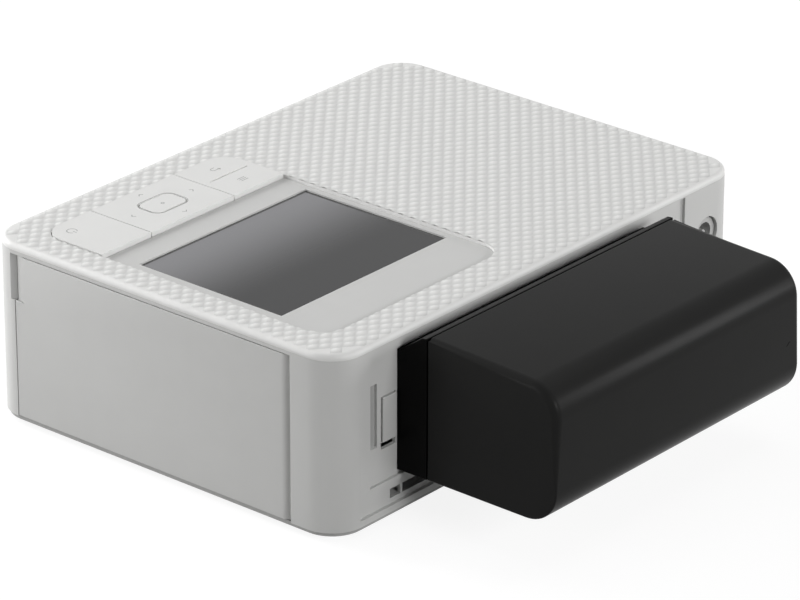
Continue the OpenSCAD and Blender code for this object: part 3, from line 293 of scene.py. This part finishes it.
def spread(nodes, links, value, low, high):
    """Maps the middle of a noise to a range of values."""
    spread_node = nodes.new("ShaderNodeMapRange")
    spread_node.inputs["From Min"].default_value = NOISE_LOW
    spread_node.inputs["From Max"].default_value = NOISE_HIGH
    spread_node.inputs["To Min"].default_value = low
    spread_node.inputs["To Max"].default_value = high
    links.new(value, spread_node.inputs["Value"])
    return spread_node.outputs["Result"]


def tinted(nodes, links, value, dark, light):
    """A colour between two, by a value from 0 to 1."""
    mix = nodes.new("ShaderNodeMix")
    mix.data_type = "RGBA"
    mix.inputs["A"].default_value = (*dark, 1)
    mix.inputs["B"].default_value = (*light, 1)
    links.new(value, mix.inputs["Factor"])
    return mix.outputs["Result"]


def finish(name, color, roughness, grain=0.25 * MM, relief=0.01 * MM, mottle=0.02, patch=9 * MM,
           metallic=0.0, specular=0.5, stretch=(1, 1, 1), coat=0.0):
    """A moulded, painted or metal finish: fine relief, faint patches and uneven gloss."""
    material, nodes, links, shader = new_material(name)
    dark = tuple(c * (1 - mottle) for c in color)
    light = tuple(min(1, c * (1 + mottle)) for c in color)
    patches = noise(nodes, links, patch, 2.0)
    tint = tinted(nodes, links, spread(nodes, links, patches, 0, 1), dark, light)
    links.new(tint, shader.inputs["Base Color"])
    fine = noise(nodes, links, grain, 3.0, stretch)
    smoothest = roughness * (1 - ROUGHNESS_SPREAD)
    roughest = roughness * (1 + ROUGHNESS_SPREAD)
    links.new(spread(nodes, links, fine, smoothest, roughest), shader.inputs["Roughness"])
    bump = nodes.new("ShaderNodeBump")
    bump.inputs["Strength"].default_value = 1
    bump.inputs["Distance"].default_value = relief
    links.new(fine, bump.inputs["Height"])
    links.new(bump.outputs["Normal"], shader.inputs["Normal"])
    shader.inputs["Metallic"].default_value = metallic
    shader.inputs["Specular IOR Level"].default_value = specular
    shader.inputs["Coat Weight"].default_value = coat
    return material


def screen_painted_reflection_finish(name, low, high, y0, y1):
    """Dark gloss glass over a display, with a painted reflection that makes it a little lighter towards the
    keys.
    """
    material, nodes, links, shader = new_material(name)
    split = nodes.new("ShaderNodeSeparateXYZ")
    links.new(object_point(nodes), split.inputs["Vector"])
    along = nodes.new("ShaderNodeMapRange")
    along.interpolation_type = "SMOOTHSTEP"
    along.inputs["From Min"].default_value = y0
    along.inputs["From Max"].default_value = y1
    along.inputs["To Min"].default_value = 1
    along.inputs["To Max"].default_value = 0
    links.new(split.outputs["Y"], along.inputs["Value"])
    links.new(tinted(nodes, links, along.outputs["Result"], low, high), shader.inputs["Base Color"])
    smear = noise(nodes, links, SCREEN_SMEAR, 2.0)
    links.new(spread(nodes, links, smear, *SCREEN_ROUGHNESS), shader.inputs["Roughness"])
    shader.inputs["Specular IOR Level"].default_value = SCREEN_SPECULAR
    return material


def board_finish(name, mask, copper):
    """Solder mask with faint tracks under it."""
    material, nodes, links, shader = new_material(name)
    tracks = nodes.new("ShaderNodeTexBrick")
    tracks.inputs["Scale"].default_value = 1 / BOARD_PITCH
    tracks.inputs["Mortar Size"].default_value = BOARD_TRACK_SHARE
    tracks.inputs["Color1"].default_value = (*mask, 1)
    tracks.inputs["Color2"].default_value = (*(c * BOARD_SHADE for c in mask), 1)
    tracks.inputs["Mortar"].default_value = (*copper, 1)
    links.new(object_point(nodes), tracks.inputs["Vector"])
    links.new(tracks.outputs["Color"], shader.inputs["Base Color"])
    uneven = noise(nodes, links, BOARD_PATCH)
    links.new(spread(nodes, links, uneven, *BOARD_ROUGHNESS), shader.inputs["Roughness"])
    return material


def grey(value):
    """A neutral colour with a faint warm tone."""
    return (value, value, value * GREY_BLUE_SHARE)


casing = finish("casing_plastic", grey(0.62), 0.5, grain=0.18 * MM, relief=0.006 * MM, mottle=0.008)
cover = finish("cover_plastic", grey(0.81), 0.45, grain=0.3 * MM, relief=0.004 * MM, specular=0.3)
keys = finish("key_plastic", grey(0.79), 0.45, grain=0.3 * MM, relief=0.003 * MM, mottle=0.01,
              specular=0.3)
bezel = finish("bezel_plastic", grey(0.62), 0.45, grain=0.3 * MM, relief=0.003 * MM, mottle=0.01,
               specular=0.3)
base = finish("base_plastic", grey(0.42), 0.55, grain=0.18 * MM, relief=0.008 * MM)
sign = finish("sign_ink", grey(0.34), 0.6, relief=0.001 * MM)
socket = finish("socket_plastic", grey(0.50), 0.5, relief=0.004 * MM)
dark = finish("dark_plastic", grey(0.030), 0.5, relief=0.008 * MM)
battery_skin = finish("battery_plastic", grey(0.018), 0.3, grain=0.16 * MM, relief=0.002 * MM,
                      specular=0.035)
adapter_skin = finish("adapter_plastic", grey(0.002), 0.36, relief=0.003 * MM, specular=0.04)
slot_painted_shade = finish("slot_painted_shade", grey(0.40), 0.5, relief=0.003 * MM)
hole_shade_paint = finish("painted_hole_shade", grey(0.002), 0.8, relief=0.002 * MM, specular=0.02)
rubber = finish("soft_rubber", grey(0.035), 0.8, grain=0.4 * MM, relief=0.02 * MM, specular=0.3)
pivot_rubber = finish("grey_rubber", grey(0.30), 0.75, grain=0.4 * MM, relief=0.01 * MM, specular=0.3)
steel = finish("ground_steel", grey(0.58), 0.28, grain=0.12 * MM, relief=0.002 * MM, metallic=1,
               stretch=(0.05, 1, 1))
sheet_steel = finish("zinc_sheet", (0.60, 0.63, 0.65), 0.42, grain=1.2 * MM, relief=0.004 * MM,
                     mottle=0.07, patch=14 * MM, metallic=1)
alloy = finish("extruded_alloy", grey(0.70), 0.35, grain=0.2 * MM, relief=0.004 * MM, metallic=1,
               stretch=(0.03, 1, 1))
brass = finish("sintered_brass", (0.66, 0.46, 0.18), 0.4, grain=0.15 * MM, relief=0.006 * MM, metallic=1)
gear_plastic = finish("gear_plastic", (0.78, 0.74, 0.62), 0.45, relief=0.004 * MM)
cassette_plastic = finish("cassette_plastic", (0.16, 0.17, 0.18), 0.45, relief=0.006 * MM)
ribbon = finish("ribbon_film", (0.05, 0.025, 0.10), 0.18, grain=2 * MM, relief=0.01 * MM, mottle=0.1,
                coat=0.4, stretch=(1, 0.1, 1))
ceramic = finish("glazed_ceramic", (0.80, 0.76, 0.68), 0.2, relief=0.001 * MM, coat=0.5)
cell_wrap = finish("cell_wrap", (0.02, 0.20, 0.22), 0.3, grain=0.6 * MM, relief=0.01 * MM, mottle=0.06,
                   coat=0.3)
cable_film = finish("cable_film", (0.42, 0.16, 0.03), 0.3, grain=0.5 * MM, relief=0.003 * MM, mottle=0.1,
                    stretch=(0.1, 1, 1))
border_painted_shade = finish("border_painted_shade", grey(0.05), 0.2, relief=0.0)
board = board_finish("solder_mask", (0.012, 0.09, 0.045), (0.05, 0.20, 0.09))

NODE_FINISHES = {
    "rubber_feet": rubber, "case_screws": steel, "screen_module": dark, "screen_cable": cable_film,
    "key_frame": dark, "key_board": board, "key_switches": dark, "pad_pivot": pivot_rubber,
    "ink_door_pin": steel, "paper_door_pin": steel, "drive_side_frame": sheet_steel,
    "door_side_frame": sheet_steel, "cross_plates": sheet_steel, "shaft_bushings": brass,
    "paper_guide": socket, "motor_plate": sheet_steel, "plate_posts": steel, "feed_motor": steel,
    "motor_pinion": gear_plastic, "drive_belt": rubber, "feed_roller": steel, "feed_gear": gear_plastic,
    "pinch_roller": rubber, "platen_shaft": steel, "platen_rubber": rubber, "pickup_shaft": steel,
    "pickup_wheels": rubber, "ribbon_hub": gear_plastic, "head_arm": sheet_steel, "print_head": ceramic,
    "heat_sink": alloy, "head_shaft": steel, "cassette_shell": cassette_plastic,
    "supply_spool": gear_plastic, "takeup_spool": gear_plastic, "ribbon_roll": ribbon,
    "ribbon_film": ribbon, "main_board": board, "board_parts": dark, "card_socket": sheet_steel,
    "usb_socket": sheet_steel, "dc_inlet": socket, "battery_terminals": dark, "battery_lid": battery_skin,
    "battery_cells": cell_wrap,
}
for node, material in NODE_FINISHES.items():
    mesh = frame["nodes"][node].data
    mesh.materials.clear()
    mesh.materials.append(material)

# Casing, panel and keys with softened edges
softened("housing", casing, HOUSING_EDGE)
softened("base_plate", base, BASE_EDGE)
softened("ink_door", casing, INK_DOOR_EDGE)
softened("paper_door", casing, PAPER_DOOR_EDGE)
softened("battery_release", casing, PLATE_EDGE)
softened("top_cover", cover, PLATE_EDGE)
softened("screen_plate", bezel, PLATE_EDGE)
for key in ("power_key", "ok_key", "direction_pad", "menu_rocker"):
    softened(key, keys, KEY_EDGE)
softened("battery_adapter", adapter_skin, ADAPTER_EDGE, ADAPTER_EDGE_STEPS)

cover_low, cover_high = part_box("top_cover")
centre = (cover_low + cover_high) / 2
half_x = (cover_high.x - cover_low.x) / 2
half_y = (cover_high.y - cover_low.y) / 2
plate_top = cover_high.z

plate_low, plate_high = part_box("screen_plate")
key_low, key_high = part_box("power_key")
key_y = (key_low.y + key_high.y) / 2
panel_x0 = plate_low.x + PANEL_FLANGE
panel_x1 = plate_high.x - PANEL_FLANGE
panel_y0 = key_low.y - PANEL_GAP
panel_y1 = plate_high.y - PANEL_FLANGE


# Studded skin of the top cover

def inward(x, y, x0, x1, y0, y1, r):
    """Distance of a point inward from a rectangle with round corners, negative outside."""
    px = abs(x - (x0 + x1) / 2) - ((x1 - x0) / 2 - r)
    py = abs(y - (y0 + y1) / 2) - ((y1 - y0) / 2 - r)
    return r - math.hypot(max(px, 0), max(py, 0)) - min(max(px, py), 0)


def in_cover(x, y):
    """Distance inward from the outline of the top cover."""
    return inward(x, y, cover_low.x, cover_high.x, cover_low.y, cover_high.y, CORNER_R)


def out_of_panel(p):
    """Distance outward from the outline of the panel."""
    return -inward(p.x, p.y, panel_x0, panel_x1, panel_y0, panel_y1, PANEL_R)


def skin_z(x, y):
    """Height of the cover's surface, which falls off over its rounded rim."""
    over = max(0, RIM_R - in_cover(x, y))
    return plate_top - RIM_R + math.sqrt(max(0, RIM_R ** 2 - over ** 2)) + SKIN_LIFT


def crossing(a, b):
    """Point between two points where a line meets the panel's outline."""
    low = 0.0
    high = 1.0
    outside = out_of_panel(a) > 0
    for _ in range(CROSSING_STEPS):
        middle = (low + high) / 2
        if (out_of_panel(a.lerp(b, middle)) > 0) == outside:
            low = middle
        else:
            high = middle
    return a.lerp(b, low)


def kept(face):
    """The stretch of a flat face that lies outside the panel."""
    points = []
    for a, b in zip(face, face[1:] + face[:1]):
        if out_of_panel(a) > 0:
            points.append(a)
        if (out_of_panel(a) > 0) != (out_of_panel(b) > 0):
            points.append(crossing(a, b))
    return points


def stud_faces(x, y, hx, hy):
    """The small faces of one rounded stud."""
    grid = []
    for i in range(STUD_STEPS + 1):
        a = 2 * i / STUD_STEPS - 1
        for j in range(STUD_STEPS + 1):
            b = 2 * j / STUD_STEPS - 1
            px = x + (a + b) / 2 * hx
            py = y + (a - b) / 2 * hy
            rise = (1 - abs(a) ** STUD_POWER) * (1 - abs(b) ** STUD_POWER)
            grid.append(Vector((px, py, skin_z(px, py) + STUD_H * rise)))
    across = STUD_STEPS + 1
    faces = []
    for i in range(STUD_STEPS):
        for j in range(STUD_STEPS):
            k = i * across + j
            faces.append([grid[k], grid[k + 1], grid[k + 1 + across], grid[k + across]])
    return faces


def stud_painted_light_finish():
    """The cover's plastic on the studs, with painted shade in the valleys and painted light towards their
    crests.
    """
    material, nodes, links, shader = new_material("stud_plastic")
    split = nodes.new("ShaderNodeSeparateXYZ")
    links.new(object_point(nodes), split.inputs["Vector"])
    # The painted light grows with height over the studs
    height = nodes.new("ShaderNodeMapRange")
    height.inputs["From Min"].default_value = plate_top
    height.inputs["From Max"].default_value = plate_top + STUD_H * STUD_PAINTED_LIGHT_SHARE
    links.new(split.outputs["Z"], height.inputs["Value"])
    tint = tinted(nodes, links, height.outputs["Result"], grey(STUD_VALLEY_PAINTED_SHADE), grey(STUD_CREST_PAINTED_LIGHT))
    links.new(tint, shader.inputs["Base Color"])
    fine = noise(nodes, links, STUD_GRAIN)
    links.new(spread(nodes, links, fine, *STUD_ROUGHNESS), shader.inputs["Roughness"])
    shader.inputs["Specular IOR Level"].default_value = STUD_SPECULAR
    return material


def stud_skin():
    """All studs of the cover, cut off along the panel."""
    hx = (half_x - STUD_IN_X) / STUD_COLUMNS
    hy = (half_y - STUD_IN_Y) / STUD_ROWS
    bm = bmesh.new()
    for i in range(1 - STUD_COLUMNS, STUD_COLUMNS):
        for j in range(1 - STUD_ROWS, STUD_ROWS):
            x = centre.x + i * hx
            y = centre.y + j * hy
            ends = [(x + hx, y), (x - hx, y), (x, y + hy), (x, y - hy)]
            corner = abs(x - centre.x) > half_x - CORNER_R and abs(y - centre.y) > half_y - CORNER_R
            border = STUD_CORNER_IN if corner else STUD_BORDER
            if (i + j) % 2 or min(in_cover(*end) for end in ends) < border:
                continue
            for face in stud_faces(x, y, hx, hy):
                points = kept(face)
                if len(points) > 2:
                    bm.faces.new([bm.verts.new(p) for p in points])
    bmesh.ops.remove_doubles(bm, verts=bm.verts, dist=STUD_WELD)
    bmesh.ops.recalc_face_normals(bm, faces=bm.faces)
    skin = new_object("stud_skin", bm, stud_painted_light_finish())
    smooth(skin, STUD_SMOOTH_ANGLE)
    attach(skin, "body")


stud_skin()


# Signs on the keys, as thin inlays

def arc(cx, cy, r, a0, a1):
    """Points of an arc between two angles in degrees."""
    steps = [math.radians(a0 + (a1 - a0) * k / ARC_STEPS) for k in range(ARC_STEPS + 1)]
    return [(cx + r * math.cos(a), cy + r * math.sin(a)) for a in steps]


def stroke(bm, points, z, width=SIGN_W):
    """A flat line of one width through the points."""
    path = [Vector((x, y)) for x, y in points]
    sides = []
    for k, p in enumerate(path):
        before = (p - path[k - 1]).normalized() if k else (path[1] - p).normalized()
        after = (path[k + 1] - p).normalized() if k < len(path) - 1 else before
        middle = (before + after).normalized()
        normal = Vector((-middle.y, middle.x)) * (width / 2) / max(SIGN_MITRE_LEAST, middle.dot(before))
        sides.append([bm.verts.new((*(p + s * normal), z)) for s in (1, -1)])
    for a, b in zip(sides, sides[1:]):
        bm.faces.new([a[1], b[1], b[0], a[0]])


def box_outline(low, high, r, out):
    """Closed outline of a box with round corners, moved outward."""
    points = []
    for side_x, side_y, start in ((1, 1, 0), (-1, 1, 90), (-1, -1, 180), (1, -1, 270)):
        cx = high.x - r if side_x > 0 else low.x + r
        cy = high.y - r if side_y > 0 else low.y + r
        points += arc(cx, cy, r + out, start, start + 90)
    return points + points[:1]


def sign_piece(name, key, strokes):
    """An inlay made of lines, which rides on its key."""
    bm = bmesh.new()
    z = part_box(key)[1].z + SIGN_LIFT
    for points in strokes:
        stroke(bm, points, z)
    piece = new_object(name, bm, sign)
    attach(piece, body_of(key))


def power_signs():
    """Open ring with a bar in its gap."""
    low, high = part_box("power_key")
    x = high.x - POWER_IN_X
    y = (low.y + high.y) / 2 - POWER_DOWN
    ring = arc(x, y, POWER_R, *POWER_ANGLES)
    bar = [(x, y + POWER_R * share) for share in POWER_BAR_SHARES]
    sign_piece("power_sign", "power_key", [ring, bar])


def pad_signs():
    """Four arrow heads on the direction pad, and the signs of the key in its middle."""
    low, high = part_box("direction_pad")
    ok_low, ok_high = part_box("ok_key")
    middle = Vector(((low.x + high.x) / 2, key_y))
    chevrons = []
    for dx, dy in ((1, 0), (-1, 0), (0, 1), (0, -1)):
        reach = CHEVRON_SIDE if dx else CHEVRON_AHEAD
        tip = middle + Vector((dx, dy)) * reach
        back = Vector((dx, dy)) * CHEVRON_ARM
        across = Vector((-dy, dx)) * CHEVRON_ARM
        chevrons.append([tuple(tip - back + across), tuple(tip), tuple(tip - back - across)])
    sign_piece("direction_signs", "direction_pad", chevrons)
    ok_x = (ok_low.x + ok_high.x) / 2
    ok_y = (ok_low.y + ok_high.y) / 2
    sign_piece("ok_sign", "ok_key", [arc(ok_x, ok_y, OK_RING_R, 0, 360)])
    sign_piece("ok_outline", "direction_pad", [box_outline(ok_low, ok_high, OK_R, OK_OUTLINE_OUT)])


def menu_signs():
    """A return arrow in front and three bars behind it."""
    low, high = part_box("menu_rocker")
    x = (low.x + high.x) / 2
    y = key_y - MENU_OFF
    top = y + RETURN_TURN
    tip_x = x - MENU_BAR
    bend = MENU_BAR * RETURN_TURN_SHARE
    hook = [(tip_x, top), (x + bend, top)] + arc(x + bend, y, RETURN_TURN, 90, -90)[1:]
    hook.append((x - bend, y - RETURN_TURN))
    head_x = tip_x + RETURN_HEAD
    head = [(head_x, top + RETURN_HEAD), (tip_x, top), (head_x, top - RETURN_HEAD)]
    sign_piece("return_sign", "menu_rocker", [hook, head])
    bars = [key_y + MENU_OFF + k * MENU_BAR_GAP for k in (-1, 0, 1)]
    sign_piece("menu_sign", "menu_rocker", [[(x - MENU_BAR, bar), (x + MENU_BAR, bar)] for bar in bars])


power_signs()
pad_signs()
menu_signs()


# Screen

glass_low, glass_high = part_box("screen_glass")
# The painted reflection on the display fades out over this share of the glass
painted_reflection_end_y = glass_low.y + (glass_high.y - glass_low.y) * SCREEN_PAINTED_REFLECTION_SHARE
screen_gloss_painted_reflection = screen_painted_reflection_finish("screen_gloss_painted_reflection", SCREEN_DARK, SCREEN_PAINTED_REFLECTION, glass_low.y, painted_reflection_end_y)
softened("screen_glass", screen_gloss_painted_reflection, GLASS_EDGE)


def screen_painted_shade_border():
    """Dark border on the glass round the display: painted shade of the window's recess wall, wide on the -X
    and -Y sides and thin on the others.
    """
    bm = bmesh.new()
    z = glass_high.z + SIGN_LIFT
    outer = box_corners(glass_low.x, glass_high.x, glass_low.y, glass_high.y)
    inner = box_corners(glass_low.x + MASK_PAINTED_SHADE_W, glass_high.x - MASK_THIN_PAINTED_SHADE_W,
                        glass_low.y + MASK_PAINTED_SHADE_W, glass_high.y - MASK_THIN_PAINTED_SHADE_W)
    rings = [[bm.verts.new((x, y, z)) for x, y in ring] for ring in (outer, inner)]
    for k in range(4):
        n = (k + 1) % 4
        bm.faces.new([rings[0][k], rings[0][n], rings[1][n], rings[1][k]])
    # The dark border is painted shade, not a print
    mask = new_object("screen_painted_shade_border", bm, border_painted_shade)
    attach(mask, "body")


screen_painted_shade_border()


# Battery

def arc_angles(centres):
    """Start and end angle of the outline's arc at each corner circle, going round once."""
    count = len(centres)
    turns = []
    for k in range(count):
        (ay, az, ar), (by, bz, br) = centres[k], centres[(k + 1) % count]
        direction = math.atan2(bz - az, by - ay)
        turns.append(direction - math.acos((ar - br) / math.hypot(by - ay, bz - az)))
    spans = []
    for k in range(count):
        start, end = turns[k - 1], turns[k]
        while end < start:
            end += 2 * math.pi
        spans.append((start, end))
    return spans


def battery_ring(bm, centres, spans, end_x, inward_x, turn):
    """One cross-section of the battery, at a step of the rounding of one end, which is less below."""
    ring = []
    end_shares = (BATTERY_FOOT_END_SHARE, BATTERY_FOOT_END_SHARE, 1, 1)
    for (cy, cz, r), (start, end), share in zip(centres, spans, end_shares):
        inset = min(BATTERY_END_R * share * (1 - math.cos(turn)), r * BATTERY_INSET_MOST_SHARE)
        x = end_x + inward_x * BATTERY_END_R * share * (1 - math.sin(turn))
        steps = max(2, math.ceil((end - start) / BATTERY_ARC_STEP))
        for k in range(steps + 1):
            a = start + (end - start) * k / steps
            ring.append(bm.verts.new((x, cy + (r - inset) * math.cos(a), cz + (r - inset) * math.sin(a))))
    return ring


def battery_shell():
    """Rounded battery: its cross-section drawn along X, with rounded ends."""
    low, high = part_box("battery_case")
    inner_y = low.y + BATTERY_FACE_IN
    outer_y = high.y - BATTERY_SKIN_IN
    centres = [
        (inner_y + BATTERY_INNER_R, low.z + BATTERY_INNER_R, BATTERY_INNER_R),
        (outer_y - BATTERY_LOWER_R, low.z + BATTERY_LOWER_R, BATTERY_LOWER_R),
        (outer_y - BATTERY_OUTER_R, high.z - BATTERY_TOP_FALL - BATTERY_OUTER_R, BATTERY_OUTER_R),
        (inner_y + BATTERY_INNER_R, high.z - BATTERY_INNER_R, BATTERY_INNER_R),
    ]
    spans = arc_angles(centres)
    bm = bmesh.new()
    turns = [math.pi / 2 * k / BATTERY_END_STEPS for k in range(BATTERY_END_STEPS + 1)]
    loops = [battery_ring(bm, centres, spans, low.x, 1, turn) for turn in reversed(turns)]
    loops += [battery_ring(bm, centres, spans, high.x, -1, turn) for turn in turns]
    for a, b in zip(loops, loops[1:]):
        for k in range(len(a)):
            n = (k + 1) % len(a)
            bm.faces.new([a[k], a[n], b[n], b[k]])
    bm.faces.new(loops[0])
    bm.faces.new(loops[-1])
    bmesh.ops.remove_doubles(bm, verts=bm.verts, dist=BATTERY_WELD)
    bmesh.ops.recalc_face_normals(bm, faces=bm.faces)
    shell = new_object("battery_shell", bm, battery_skin)
    smooth(shell, BATTERY_SMOOTH_ANGLE)
    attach(shell, "battery_pack")
    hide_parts("battery_case")


battery_shell()


# Thin inlays of painted shade on walls that face +Y

def wall_inlay(name, body, material, y, corners):
    """A flat inlay a hair in front of a wall, from corners given as (x, z)."""
    bm = bmesh.new()
    bm.faces.new([bm.verts.new((x, y + SIGN_LIFT, z)) for x, z in corners])
    piece = new_object(name, bm, material)
    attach(piece, body)


wall_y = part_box("housing")[1].y
# A darker inlay on the slot's floor, painted shade in the recess
wall_inlay("side_slot_painted_shade", "body", slot_painted_shade, wall_y - SLOT_DEPTH,
           box_corners(SLOT_X0, SLOT_X1, SLOT_Z0, SLOT_Z1))
battery_low, battery_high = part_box("battery_case")
hole_x = battery_low.x + HOLE_IN
hole_z = battery_low.z + HOLE_UP
hole_foot = [(hole_x + HOLE_LEAN + across, hole_z - HOLE_H / 2) for across in (0, HOLE_W)]
hole_head = [(hole_x - HOLE_LEAN + across, hole_z + HOLE_H / 2) for across in (HOLE_W, 0)]
# A dark patch on the battery's outer face, painted shade of a small slanted hole
wall_inlay("battery_hole_painted_shade", "battery_pack", hole_shade_paint, battery_high.y - BATTERY_SKIN_IN,
           hole_foot + hole_head)


# Camera

def camera():
    """The photograph's camera."""
    level_share = math.cos(CAMERA_ELEVATION)
    back_x = math.sin(CAMERA_AZIMUTH) * level_share
    back_y = -math.cos(CAMERA_AZIMUTH) * level_share
    back = Vector((back_x, back_y, math.sin(CAMERA_ELEVATION)))
    level = Vector((0, 0, 1)).cross(back).normalized()
    upright = back.cross(level)
    right = level * math.cos(CAMERA_ROLL) + upright * math.sin(CAMERA_ROLL)
    up = upright * math.cos(CAMERA_ROLL) - level * math.sin(CAMERA_ROLL)
    data = bpy.data.cameras.new("camera")
    data.sensor_width = SENSOR_WIDTH
    data.lens = FOCAL_PX / IMAGE_WIDTH_PX * SENSOR_WIDTH
    obj = bpy.data.objects.new("camera", data)
    obj.matrix_world = Matrix.Translation(CAMERA_AT) @ Matrix((right, up, back)).transposed().to_4x4()
    bpy.context.scene.collection.objects.link(obj)
    bpy.context.scene.camera = obj


camera()


# Floor, world and lamps

def seen_rays(nodes, links):
    """1 for rays of the camera, of reflections and of clear materials, else 0."""
    path = nodes.new("ShaderNodeLightPath")
    value = path.outputs["Is Camera Ray"]
    for name in ("Is Glossy Ray", "Is Transmission Ray"):
        most = nodes.new("ShaderNodeMath")
        most.operation = "MAXIMUM"
        links.new(value, most.inputs[0])
        links.new(path.outputs[name], most.inputs[1])
        value = most.outputs["Value"]
    return value


def floor():
    """Pale floor: white to the camera with a soft shadow, and darker as a source of light."""
    bm = bmesh.new()
    corners = box_corners(-FLOOR_HALF, FLOOR_HALF, -FLOOR_HALF, FLOOR_HALF)
    bm.faces.new([bm.verts.new((x, y, -FLOOR_DROP)) for x, y in corners])
    material = bpy.data.materials.new("floor_white")
    material.use_nodes = True
    nodes, links = material.node_tree.nodes, material.node_tree.links
    nodes.clear()
    out = nodes.new("ShaderNodeOutputMaterial")
    plain = nodes.new("ShaderNodeBsdfDiffuse")
    plain.inputs["Color"].default_value = (*grey(FLOOR_ALBEDO), 1)
    shaded = nodes.new("ShaderNodeBsdfDiffuse")
    shaded.inputs["Color"].default_value = (FLOOR_SHADED, FLOOR_SHADED, FLOOR_SHADED, 1)
    glow = nodes.new("ShaderNodeEmission")
    glow.inputs["Color"].default_value = (1, 1, 1, 1)
    glow.inputs["Strength"].default_value = FLOOR_GLOW
    white = nodes.new("ShaderNodeMixShader")
    white.inputs["Fac"].default_value = FLOOR_SHADOW_SHARE
    links.new(glow.outputs["Emission"], white.inputs[1])
    links.new(shaded.outputs["BSDF"], white.inputs[2])
    both = nodes.new("ShaderNodeMixShader")
    links.new(seen_rays(nodes, links), both.inputs["Fac"])
    links.new(plain.outputs["BSDF"], both.inputs[1])
    links.new(white.outputs["Shader"], both.inputs[2])
    links.new(both.outputs["Shader"], out.inputs["Surface"])
    new_object("floor", bm, material)


def world():
    """White surroundings to the camera and in reflections, and a weak even light."""
    data = bpy.data.worlds.new("world")
    data.use_nodes = True
    nodes, links = data.node_tree.nodes, data.node_tree.links
    nodes.clear()
    out = nodes.new("ShaderNodeOutputWorld")
    background = nodes.new("ShaderNodeBackground")
    background.inputs["Color"].default_value = (1, 1, 1, 1)
    level = nodes.new("ShaderNodeMapRange")
    level.inputs["To Min"].default_value = AMBIENT
    level.inputs["To Max"].default_value = 1
    links.new(seen_rays(nodes, links), level.inputs["Value"])
    links.new(level.outputs["Result"], background.inputs["Strength"])
    links.new(background.outputs["Background"], out.inputs["Surface"])
    bpy.context.scene.world = data


def softbox(name, direction, distance, width, height, power):
    """A flat lamp that faces the object."""
    aim = Vector(direction).normalized()
    data = bpy.data.lights.new(name, "AREA")
    data.shape = "RECTANGLE"
    data.size = width
    data.size_y = height
    data.energy = power
    lamp = bpy.data.objects.new(name, data)
    lamp.location = aim * distance
    lamp.rotation_euler = aim.to_track_quat("Z", "Y").to_euler()
    bpy.context.scene.collection.objects.link(lamp)


floor()
world()
softbox("front_light", (0.15, -0.88, 0.42), distance=1.2, width=0.60, height=0.60, power=11.0)
softbox("left_light", (0.78, -0.62, 0.22), distance=0.9, width=0.90, height=0.50, power=4.5)
softbox("right_light", (-0.69, 0.64, 0.25), distance=1.6, width=0.28, height=0.60, power=7.6)
softbox("back_light", (0.10, 0.90, 0.42), distance=1.5, width=0.60, height=0.45, power=10.1)
softbox("top_light", (-0.25, -0.05, 1.0), distance=1.5, width=1.40, height=1.40, power=5.4)
